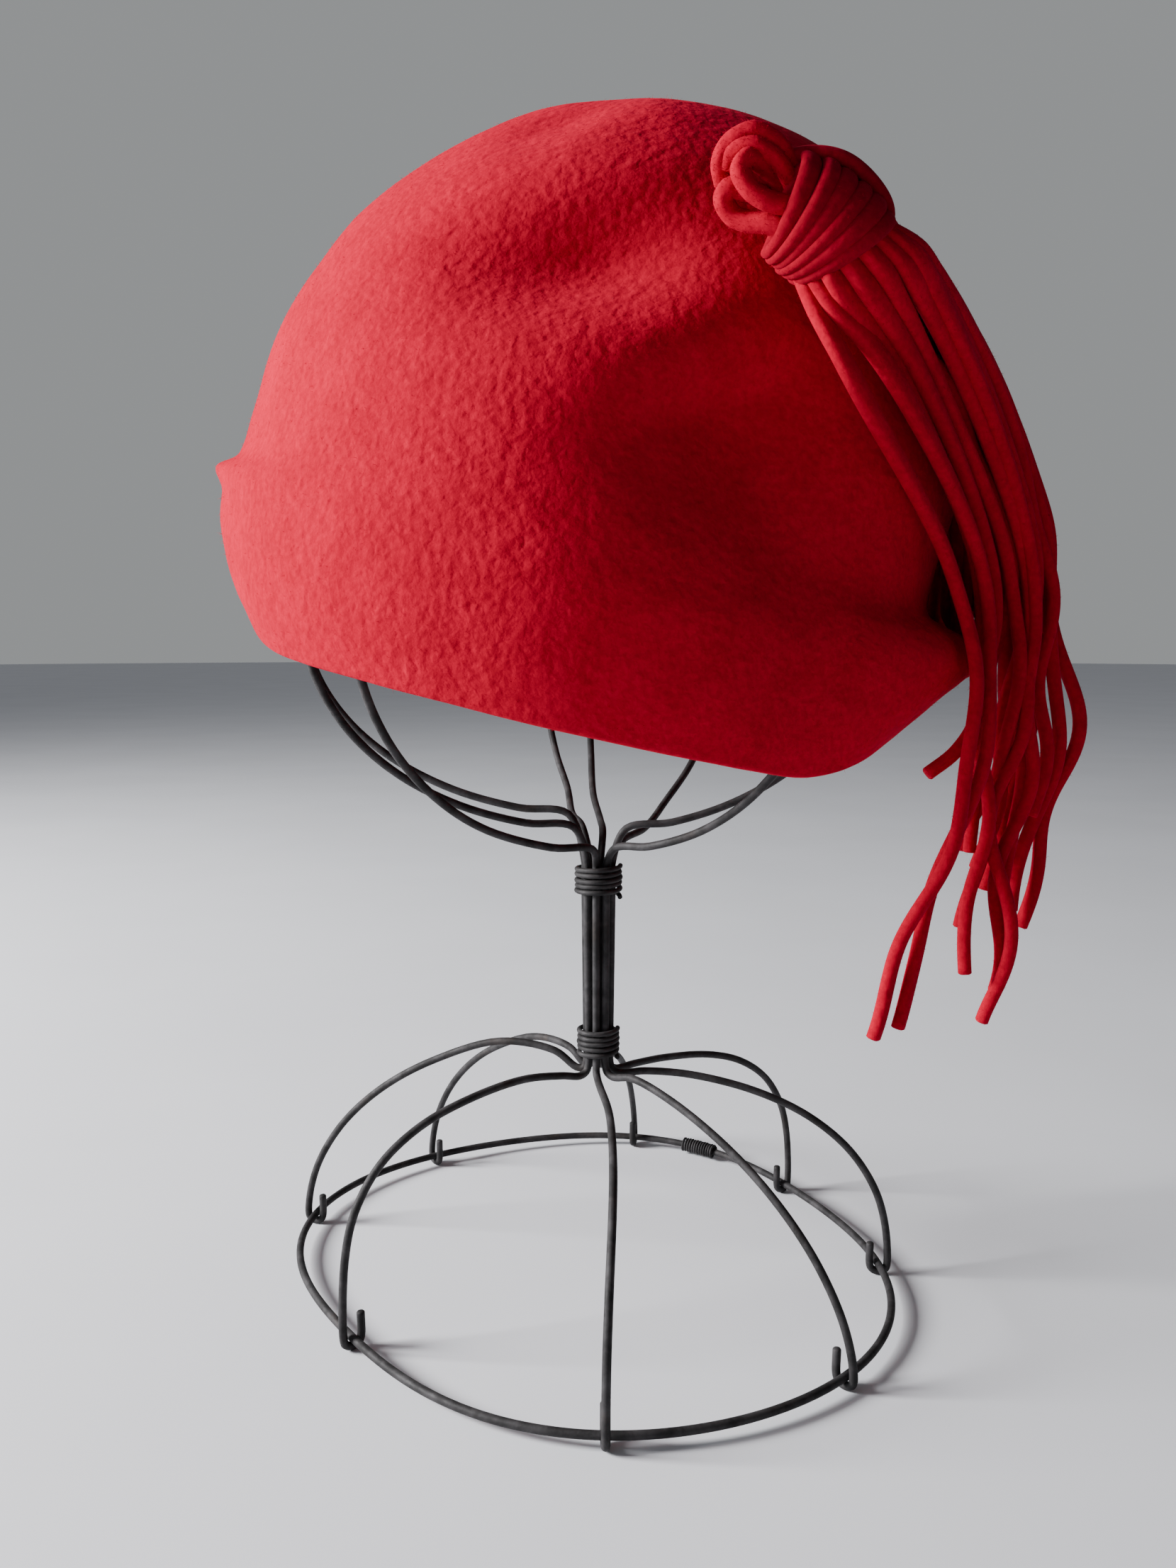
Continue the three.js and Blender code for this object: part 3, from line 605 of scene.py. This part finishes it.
def knotWrap():
    # a flat strip wound round the bundle in touching, slightly uneven turns that bow towards the mouth
    # and fan out on the high side, pressed in under the strands over it, both ends tucked in
    turn = np.linspace(0, knot["windings"], knot["windSteps"])
    angle = 360 * turn + knot["windStart"]
    near, high = frontPart(angle)
    spread = 1 + knot["bandFan"] * high + knot["bandSwell"] * near
    wobble = sum(ripple(turn, *wave) for wave in knot["wobble"])
    bow = knot["bandBow"] * np.maximum(0, near) + knot["bandLean"] * high + knot["bandShift"]
    distance = knot["bandPitch"] * (turn - knot["windings"] / 2) * spread + wobble + bow
    tuck = np.maximum(0, 1 - np.minimum(turn, knot["windings"] - turn) / knot["tuckTurns"])
    offPress = (angle - knot["pressAngle"] + 180) % 360 - 180
    press = knot["pressDepth"] * np.exp(-((offPress / knot["pressWidth"]) ** 2))
    radius = wrapRadius(distance) - press - knot["tuckDepth"] * tuck**2 + ripple(turn, *knot["heave"])
    path = roundKnot(distance, radius, angle)
    outward = roundKnot(distance, radius + 1, angle) - path
    wide = knot["bandPitch"] * spread * (knot["bandSpread"] + ripple(turn, *knot["widthWave"]))
    return tube(path, outward, knot["bandThick"], wide, knot["bandSides"], knot["bandFullness"])


def knotCore():
    # bundled strands inside the wrap: a ribbed barrel with rounded ends, cut to the wrap's fan
    sides = knot["coreSides"]
    s = np.linspace(-1, 1, knot["coreRows"])
    angle = 360 * np.arange(sides) / sides
    high = frontPart(angle)[1]
    closed, mouth = (knot[end][0] + knot[end][1] * high for end in ("coreClosed", "coreMouth"))
    distance = np.where(s[:, None] < 0, s[:, None] * closed, s[:, None] * mouth)
    rib = 1 - knot["ribDepth"] * np.abs(np.sin(np.radians(angle * knot["ribs"] / 2)))
    rounding = 1 - knot["endShrink"] * np.abs(s) ** knot["endPower"]
    radius = bundleRadius(distance) * rounding[:, None] * rib
    grid = roundKnot(distance, radius, np.broadcast_to(angle, distance.shape))
    poles = roundKnot(np.array([-knot["coreClosed"][0], knot["coreMouth"][0]]), np.zeros(2), np.zeros(2))
    return np.concatenate([grid.reshape(-1, 3), poles]), cappedGrid(len(s), sides)


def knotLoop(half, marks):
    # a round strand along a smooth curve through the loop's marks, clear of the crown
    along, high, front = np.array(marks, float).T
    path = smoothRun(frontPoint(along, high, front), knot["loopPerSpan"])
    path = standOff(evenSteps(path, knot["loopSteps"]), layClear)
    return tube(path, upright, half, half, knot["strandSides"], knot["loopFullness"])


def overStrand(angle, middle):
    # out of the loops, over the wrap along its upper side and down into the mouth: a parabola
    # that falls faster towards the closed end, with a dive at the mouth
    distance = np.linspace(knot["overStart"], knot["overEnd"], knot["overSteps"])
    share = np.maximum(0, distance / knot["overEnd"])
    fall = np.where(distance < 0, knot["closedFall"], knot["mouthFall"])
    radius = middle - fall * distance**2 - knot["mouthDive"] * share ** knot["divePower"]
    path = roundKnot(distance, radius, angle)
    outward = roundKnot(distance, radius + 1, angle) - path
    thick, wide = knot["overThick"], knot["overWide"]
    return tube(path, outward, thick, wide, knot["strandSides"], knot["overFullness"])


# the wrap, the bundle and the strands over it take the knot's darker felt, painted shade
addPiece("knot_wrap_strip", knotWrap(), knotFeltPaintedShade, "felt", "knot_wrap")
addPiece("knot_core", knotCore(), knotFeltPaintedShade, "felt", "tassel")
# the loops take the strips' lighter felt, painted light
for number, row in enumerate(knot["loops"], 1):
    addPiece(f"knot_loop_{number}", knotLoop(*row), stripFeltPaintedLight, "felt", "tassel")
for number, row in enumerate(knot["overStrands"], 1):
    addPiece(f"knot_over_strand_{number}", overStrand(*row), knotFeltPaintedShade, "felt", "tassel")
print("knot made")

tassel = {
    "shoulderHeight": 250, "waistHeight": 205, "hemHeight": 165, "farHemHeight": 188,
    "steps": 18, "marksPerSpan": 40, "perSpan": 7, "sides": 12, "fullness": 2.8,
    "wide": 2.4, "thick": 1.85, "widthWave": 0.07, "widthPace": 9, "widthSpread": (-0.06, 0.04),
    # size and pace of the slight wave, where it grows loose, and the length and reach of the S-bend
    "wave": 1.3, "pace": (1.4, 2.6), "looseFrom": (0.55, 0.85), "swayLength": 0.3, "swayReach": 0.17,
    # depth along the axis and share of the radius at which a strip is rooted and leaves the mouth
    "rootLean": 0.12, "buried": (-9, 0.5), "inside": [(-3, 0.75), (1.5, 0.98)],
    # mouth angle, shoulder x y, waist x y, hem x y, end x z, late sway and its place
    "strips": [
        (236, 57, -80, 93, -45, 100, -46, 74, 84, 1.2, 0.72),
        (258, 68, -74, 103, -38, 103, -42, 82, 86, -1.2, 0.74),
        (280, 72, -68, 103, -34, 101, -38, 90, 154, 0, 0.7),
        (302, 78, -65, 108, -30, 106, -33, 104, 98, 1.8, 0.74),
        (326, 84, -58, 114, -27, 114, -29, 104, 110, -2, 0.76),
        (348, 93, -51, 119, -25, 117, -31, 109, 84, 6, 0.855),
        (10, 101, -43, 123, -21, 118.5, -24, 117, 118, 1.5, 0.75),
        (30, 107, -36, 126, -18, 127.5, -20, 125, 140, -1.5, 0.75),
        (52, 110.5, -29, 130, -14, 131, -16, 122, 112, 2.2, 0.72),
        (75, 113.5, -21, 133, -10, 136, -12, 126, 106, 3.2, 0.7),
        (110, 114, -10, 127, -4, 124, -6, 116, 116, 1.6, 0.75),
        (135, 107, -24, 120, -12, 119.5, -14, 112, 124, -2, 0.76),
        (200, 88, -46, 116, -22, 107.5, -22, 108, 130, 1.4, 0.75),
    ],
    # more strips close to the crown, behind the others
    "behind": [
        (120, 106, -12, 113.5, -5, 113, -6, 108, 128, 1, 0.75),
        (100, 107, -14, 118.2, -5, 122, -6, 112, 134, -1, 0.75),
        (80, 110, -17, 124.5, -6, 125.5, -8, 120, 122, 1.5, 0.75),
        (12, 97, -50, 120, -27, 119, -28, 113, 92, -2.4, 0.82),
    ],
    # short ones at the far side of the groove above the edge
    "far": [
        (130, 105, -6, 110.7, -0.5, 110.7, -0.5, 110.7, 185, 0, 0.7),
        (140, 103, -2, 108.2, 4, 108.2, 4, 108.2, 182, 0, 0.7),
        (150, 101, 3, 106.8, 8.5, 106.8, 8.5, 106.8, 178, 0, 0.7),
        (160, 98, 8, 105.2, 13, 105.2, 13, 105.2, 175, 0, 0.7),
        (170, 96, 12, 103.8, 18, 103.8, 18, 103.8, 173, 0, 0.7),
    ],
}


def tasselStrip(hemHeight, mouth, shoulderX, shoulderY, waistX, waistY, hemX, hemY,
                endX, endZ, sway, swayAt):
    # out of the knot's mouth, over the crown and down to a cut end, with a slight wave all along
    # and one S-bend (a sine under a bell) low down
    high = frontPart(mouth)[1]
    root = knot["coreMouth"][0] + knot["rootSwing"] * high
    reach = knot["mouthRadius"] * (1 - tassel["rootLean"] * high)
    depth, share = np.array(tassel["inside"]).T
    marks = np.concatenate([roundKnot(root + depth, reach * share, mouth), [
        (shoulderX, shoulderY, tassel["shoulderHeight"]), (waistX, waistY, tassel["waistHeight"]),
        (hemX, hemY, hemHeight), (endX, hemY, endZ),
    ]])
    steps = evenSteps(smoothRun(marks, tassel["marksPerSpan"]), tassel["steps"] + 1)
    laid = np.concatenate([steps[:2], standOff(steps[2:], layClear)])
    depth, share = np.array([tassel["buried"]]).T
    buried = roundKnot(root + depth, knot["mouthRadius"] * share, mouth)
    path = smoothRun(np.concatenate([buried, laid]), tassel["perSpan"])
    s = np.linspace(0, 1, len(path))
    around = unit(np.stack([-path[:, 1], path[:, 0], 0 * s], 1))
    outwards = np.cross(around, upwards)
    phase, pace = rng.uniform(0, 2 * np.pi), rng.uniform(*tassel["pace"])
    off = s - swayAt
    bell = np.exp(-((off / tassel["swayReach"]) ** 4))
    bend = sway * np.sin(2 * np.pi * off / tassel["swayLength"]) * bell
    looseShare = min(1, abs(sway)) * smoothStep(s, *tassel["looseFrom"])
    loose = tassel["wave"] * looseShare * np.sin(2 * phase + 4 * np.pi * pace * s)
    path = path + outwards * (bend + loose)[:, None]
    path = path + around * (tassel["wave"] * s * np.sin(phase + 2 * np.pi * pace * s))[:, None]
    uneven = tassel["widthWave"] * np.sin(phase * 2 + tassel["widthPace"] * s)
    width = tassel["wide"] * (1 + uneven + rng.uniform(*tassel["widthSpread"]))
    return tube(path, around, width, tassel["thick"], tassel["sides"], tassel["fullness"])


hanging = [(tassel["hemHeight"], *row) for row in tassel["strips"] + tassel["behind"]]
hanging += [(tassel["farHemHeight"], *row) for row in tassel["far"]]
# the strips take the lighter felt, painted light
for number, row in enumerate(hanging, 1):
    addPiece(f"tassel_strip_{number:02d}", tasselStrip(*row), stripFeltPaintedLight, "felt", "tassel")
print("tassel made")

stand = {
    "wire": 2.3, "sides": 12, "perSpan": 7, "fit": 0.3,
    "ringRadius": 88, "ringSteps": 240, "ringSides": 14, "cageRingRadius": 12, "cageRingSteps": 72,
    "hookRadius": 2.6, "hookDrop": 2.25, "hookTop": 6.5, "hookSteps": 5, "domeSteps": 5,
    "postFoot": 57.5, "postTop": 123, "postFootRadius": 3.5, "postTopRadius": 4.2,
    "neckTop": 128, "bowlHeight": 195, "spreadRadius": 34,
    # shares of the way along each leg and up the straight post, and angles round each arm's bow
    "legShares": [0.99, 0.95, 0.86, 0.72, 0.54, 0.32], "postShares": [0.05, 0.2, 0.5, 0.8, 0.95, 1],
    "bowlAngles": [6, 16, 30, 45, 60, 75, 90],
    # waves round the ring, their size and the azimuth of a peak
    "ringBends": [(2, 4.9, 135), (3, 1.8, 56), (4, 2.1, 72)],
    # radius, lift, arched, turned of the bend from a leg into the post
    "postBend": [(14, 0, 0.5, 0), (6.8, 0, 0.1, 0.3), (4.4, 1.4, 0, 0.8), (3.5, 5, 0, 1)],
    # leg, arch, power, sway, arm, rise, bow of each wire
    "wires": [
        (35, 57.5, 2.9, 0, 57, 0, 82), (79, 60, 1.6, 0, 92, 2, 82), (129, 66, 1.8, 0, 104, 4, 82),
        (165, 69, 1.9, 0, 178, 9, 87), (216.5, 61.5, 3.4, 0, 200, 6, 85), (272.3, 58, 2.3, 3, 222, 0, 83),
        (315, 61, 1.85, 0, 315, 0, 80), (354.5, 59.5, 2.4, 0, 357, 5, 80),
    ],
}
wireRadius = stand["wire"] / 2


def ringAt(azimuth):
    # the ring's radius at an azimuth in degrees: a circle with a few long waves
    return stand["ringRadius"] + sum(
        size * np.cos(waves * np.radians(azimuth - peak)) for waves, size, peak in stand["ringBends"]
    )


def standWire(leg, arch, power, sway, arm, rise, bow, slot):
    # hook under the ring, leg, post, arm and cage, in the leg's upright plane, then turned to its azimuth
    reach, hook, foot = ringAt(leg), stand["hookRadius"], stand["postFoot"]
    legTurn = math.radians(leg)
    post = postShift * np.array([math.cos(legTurn), -math.sin(legTurn)])

    def put(radius, height, azimuth):  # about the post, seen from the leg
        turned = np.radians(azimuth - leg)
        return np.stack([post[0] + radius * np.cos(turned), post[1] + radius * np.sin(turned), height], 1)

    # half turn under the ring, then the leg as a superellipse
    a = np.pi * (1 + np.arange(stand["hookSteps"] + 1) / stand["hookSteps"])
    hooked = np.stack([reach + hook * np.cos(a), 0 * a, stand["hookDrop"] * np.sin(a)], 1)
    share = np.array(stand["legShares"])
    legHeight = arch * (1 - share**power) ** (1 / power)
    run = np.stack([post[0] + (reach + hook - post[0]) * share,
                    post[1] * (1 - share) + sway * np.sin(np.pi * share), legHeight], 1)
    # into the post and straight up it
    radius, lift, arched, turned = np.array(stand["postBend"]).T
    bent = put(radius, foot + lift + arched * (arch - foot), leg + (slot - leg) * turned)
    share, postStart = np.array(stand["postShares"]), foot + lift[-1]
    radius = stand["postFootRadius"] + (stand["postTopRadius"] - stand["postFootRadius"]) * share
    straight = put(radius, postStart + (stand["postTop"] - postStart) * share, np.full(len(share), slot))
    # out along the bowl, a quarter of an ellipse, and up into the cage's dome
    a = np.radians(stand["bowlAngles"])
    radius = bow * np.sin(a)
    start, bowl = stand["neckTop"] + rise, stand["bowlHeight"]
    spreading = smoothStep(radius, stand["postTopRadius"], stand["spreadRadius"])
    arms = put(radius, start + (bowl - start) * (1 - np.cos(a)), slot + (arm - slot) * spreading)
    endAngle = math.acos((stand["cageRingRadius"] + wireRadius + stand["fit"]) / bow)
    a = endAngle * np.arange(1, stand["domeSteps"] + 1) / stand["domeSteps"]
    domeHeight = (cageTop - bowl) / math.sin(endAngle)
    dome = put(bow * np.cos(a), bowl + domeHeight * np.sin(a), np.full(len(a), arm))
    marks = np.concatenate([[(reach - hook, 0, stand["hookTop"])], hooked, run, bent, straight, arms, dome])
    path = smoothRun(marks, stand["perSpan"])
    aside = np.stack([-path[:, 1] + post[1], path[:, 0] - post[0], 0 * path[:, 2]], 1)
    c, s = math.cos(legTurn), math.sin(legTurn)
    turn = np.array([[c, s, 0], [-s, c, 0], [0, 0, 1]])
    return tube(path @ turn, unit(aside) @ turn, wireRadius, wireRadius, stand["sides"])


firstSlot, slotStep = stand["wires"][0][0], 360 / len(stand["wires"])
for number, row in enumerate(stand["wires"], 1):
    slotAngle = firstSlot + slotStep * (number - 1)
    addPiece(f"wire_{number}", standWire(*row, slotAngle), wireIron, "iron_wire", f"stand_wire_{number}")


def ringTube(radius, middle, steps, sides):
    # round wire along a level ring whose radius is a function of the azimuth
    a = 360 * np.arange(steps) / steps
    r = radius(a)
    path = np.stack([r * np.cos(np.radians(a)), r * np.sin(np.radians(a)), 0 * a], 1) + middle
    return tube(path, upwards, wireRadius, wireRadius, sides, closed=True)


def cageRingAt(azimuth):
    # a plain circle
    return np.full(len(azimuth), float(stand["cageRingRadius"]))


ring = ringTube(ringAt, 0, stand["ringSteps"], stand["ringSides"])
addPiece("ring_wire", ring, wireIron, "iron_wire", "base_ring")
cageRing = ringTube(cageRingAt, (postShift, 0, cageTop), stand["cageRingSteps"], stand["sides"])
addPiece("cage_ring_wire", cageRing, wireIron, "iron_wire", "cage_ring")

splice = {
    "azimuth": 62, "length": 13, "radius": 2.15, "wire": 0.85, "turns": 13, "perTurn": 16, "sides": 8,
    "uneven": 0.08, "unevenPace": 2.1,
}


def spliceCoil():
    # thin wire wound round the ring where its two ends meet
    turn = np.linspace(0, splice["turns"], splice["turns"] * splice["perTurn"])
    share = turn / splice["turns"] - 0.5
    azimuth = splice["azimuth"] + np.degrees(share * splice["length"] / ringAt(splice["azimuth"]))
    outward = np.stack([np.cos(np.radians(azimuth)), np.sin(np.radians(azimuth)), 0 * azimuth], 1)
    a = 2 * np.pi * turn
    ray = outward * np.cos(a)[:, None] + np.array(upwards) * np.sin(a)[:, None]
    loose = splice["radius"] + splice["uneven"] * np.sin(turn * splice["unevenPace"])
    path = outward * ringAt(azimuth)[:, None] + ray * loose[:, None]
    return tube(path, ray, splice["wire"] / 2, splice["wire"] / 2, splice["sides"])


addPiece("splice_coil", spliceCoil(), bindingIron, "iron_wire", "ring_splice")

bindings = {
    "wire": 1.5, "pitch": 1.65, "turns": 5, "perTurn": 40, "sides": 10, "droop": 1.3, "droopTurns": 0.5,
    # slack of the coil, then size and pace of its unevenness in radius and in height
    "slack": 0.1, "uneven": (0.1, 2.7), "wander": (0.12, 4.1),
    # foot of the coil and radius of the post there
    "levels": {"upper": (113.6, stand["postTopRadius"]), "lower": (63.5, stand["postFootRadius"])},
}


def bindingCoil(foot, postRadius, phase):
    # wire wound round the post, its turns a little uneven and the lowest half turn hanging loose
    turn = np.linspace(0, bindings["turns"], bindings["turns"] * bindings["perTurn"])
    (uneven, unevenPace), (wander, wanderPace) = bindings["uneven"], bindings["wander"]
    inside = postRadius + wireRadius + stand["fit"] + bindings["slack"]
    radius = inside + bindings["wire"] / 2 + uneven * np.sin(turn * unevenPace + phase)
    droop = bindings["droop"] * np.maximum(0, 1 - turn / bindings["droopTurns"]) ** 2
    height = foot + bindings["pitch"] * turn + wander * np.sin(turn * wanderPace + 2 * phase) - droop
    a = 2 * np.pi * turn
    ray = np.stack([np.cos(a), np.sin(a), 0 * a], 1)
    path = ray * radius[:, None] + np.array([postShift, 0, 0]) + np.array(upwards) * height[:, None]
    return tube(path, ray, bindings["wire"] / 2, bindings["wire"] / 2, bindings["sides"])


for phase, (level, sizes) in enumerate(bindings["levels"].items()):
    coil = bindingCoil(*sizes, phase)
    addPiece(f"{level}_binding_coil", coil, bindingIron, "binding_wire", f"{level}_binding")
print("stand made")

nap = {
    "onCrown": 12000, "crownLength": (0.5, 1.5), "onTassel": 15000, "tasselLength": (0.5, 1.4),
    "thick": 0.04, "scatter": 0.3, "rise": 0.55, "lean": 0.6, "sink": 0.05,
}


def napOn(piece, count, shortest, longest):
    # short fibres on random faces of a piece, leaning along it
    mesh = piece.data
    middles = np.empty(len(mesh.polygons) * 3, np.float32)
    normals = np.empty(len(mesh.polygons) * 3, np.float32)
    areas = np.empty(len(mesh.polygons), np.float32)
    mesh.polygons.foreach_get("center", middles)
    mesh.polygons.foreach_get("normal", normals)
    mesh.polygons.foreach_get("area", areas)
    pick = rng.choice(len(areas), count, p=areas.astype(float) / areas.astype(float).sum())
    roots = middles.reshape(-1, 3)[pick].astype(float) * millimetres - shift
    normal = normals.reshape(-1, 3)[pick].astype(float)
    roots = roots + np.cross(normal, rng.normal(size=(count, 3))) * nap["scatter"]
    lean = unit(normal * nap["rise"] + np.cross(normal, rng.normal(size=(count, 3))) * nap["lean"])
    lengths = rng.uniform(shortest, longest, count)
    return spikes(roots - normal * nap["sink"], lean, lengths, nap["thick"])


crownNap = napOn(feltCrown, nap["onCrown"], *nap["crownLength"])
addPiece("crown_nap", crownNap, crownFelt, "felt")
tasselPieces = [o for o in objects if o.name.startswith(("tassel_strip", "knot_wrap_strip", "knot_loop"))]
shareOut = nap["onTassel"] // len(tasselPieces)
tasselNap = joinSurfaces([napOn(o, shareOut, *nap["tasselLength"]) for o in tasselPieces])
# the tassel's nap takes the strips' lighter felt, painted light
addPiece("tassel_nap", tasselNap, stripFeltPaintedLight, "felt")
print("nap made")

stage = {
    "floorRadius": 9.0, "floorRings": 23, "floorSides": 64,
    "floorColour": (0.72, 0.725, 0.76), "floorShade": 0.96, "floorScale": 6, "floorRoughness": 0.6,
    "brightSide": (0.62, 0.66, 0.74), "dimSide": (0.06, 0.058, 0.057), "sideEdges": (-0.9, -0.1),
    "backdrop": (0.30, 0.31, 0.315), "backdropEdges": (0.35, 0.75),
}


def floorDisc():
    # rings of points out from the stand, wider and wider by the cube of their number
    rings, sides = stage["floorRings"], stage["floorSides"]
    radius = stage["floorRadius"] * np.linspace(0, 1, rings + 1)[1:] ** 3
    a = 2 * np.pi * np.arange(sides) / sides
    level = np.zeros((rings, sides))
    grid = np.stack([np.outer(radius, np.cos(a)), np.outer(radius, np.sin(a)), level], -1)
    points = np.concatenate([grid.reshape(-1, 3), [[0, 0, 0]]])
    return points, [gridFaces(rings, sides)[:, ::-1], fan(rings * sides, np.arange(sides), False)]


paleFloor = newMaterial("paleFloor")
pale = stage["floorColour"]
shaded = tuple(stage["floorShade"] * x for x in pale)
paleFloor.paint(paleFloor.ramp(paleFloor.noise(stage["floorScale"]), shaded, pale), "Base Color")
paleFloor.fix({"Roughness": stage["floorRoughness"]})
floor = newMesh("floor", *floorDisc(), paleFloor.material)


def studioAir():
    # soft air round the stage: bright on the left (-X), plain behind, dim towards the camera and the right
    air = bpy.data.worlds.new("studioAir")
    air.use_nodes = True
    nodes, links = air.node_tree.nodes, air.node_tree.links
    split = nodes.new("ShaderNodeSeparateXYZ")
    links.new(nodes.new("ShaderNodeTexCoord").outputs["Generated"], split.inputs["Vector"])

    def mixBy(value, fromValue, toValue, a, b):  # smoothstep from a to b between the two values
        share = nodes.new("ShaderNodeMapRange")
        share.interpolation_type = "SMOOTHSTEP"
        share.inputs["From Min"].default_value = fromValue
        share.inputs["From Max"].default_value = toValue
        links.new(value, share.inputs["Value"])
        mix = nodes.new("ShaderNodeMix")
        mix.data_type = "RGBA"
        links.new(share.outputs["Result"], mix.inputs["Factor"])
        for socket, colour in (("A", a), ("B", b)):
            if isinstance(colour, tuple):
                mix.inputs[socket].default_value = (*colour, 1)
            else:
                links.new(colour, mix.inputs[socket])
        return mix.outputs["Result"]

    sides = mixBy(split.outputs["X"], *stage["sideEdges"], stage["brightSide"], stage["dimSide"])
    everywhere = mixBy(split.outputs["Y"], *stage["backdropEdges"], sides, stage["backdrop"])
    links.new(everywhere, nodes["Background"].inputs["Color"])
    return air


scene.world = studioAir()

# place, aim, size and power of each light, in metres and watts
lights = {
    "key": ((-1.44, -0.12, 0.71), (0, 0, 0.2), 0.5, 84),
    "fill": ((0.9, -1.2, 0.9), (0, 0, 0.2), 1.2, 0.8),
}


def addLight(name, place, aim, size, power):
    # a square area light, its axis turned down from Z and round to its aim
    data = bpy.data.lights.new(name, "AREA")
    data.size = size
    data.energy = power
    light = objects.new(name, data)
    scene.collection.objects.link(light)
    light.location = place
    x, y, z = np.array(aim, float) - np.array(place)
    light.rotation_euler = (math.atan2(math.hypot(x, y), -z), 0, math.atan2(-x, y))


for lightName, settings in lights.items():
    addLight(lightName, *settings)

# the photograph's view: 1659 x 2212, focal length 1725 pixels, looking along +Y and a little down
view = {
    "place": (-0.53, -361.6, 190.4), "pitch": 6.91, "focal": 1725, "longSide": 2212,
    "sensor": 36, "near": 0.01,
}
camera = bpy.data.cameras.new("photoView")
camera.sensor_width = view["sensor"]
camera.lens = view["sensor"] * view["focal"] / view["longSide"]
camera.clip_start = view["near"]
cameraObject = objects.new("photoView", camera)
scene.collection.objects.link(cameraObject)
cameraObject.location = (np.array(view["place"]) + shift) / millimetres
cameraObject.rotation_euler = (math.radians(90 - view["pitch"]), 0, 0)
scene.camera = cameraObject
print("stage made")
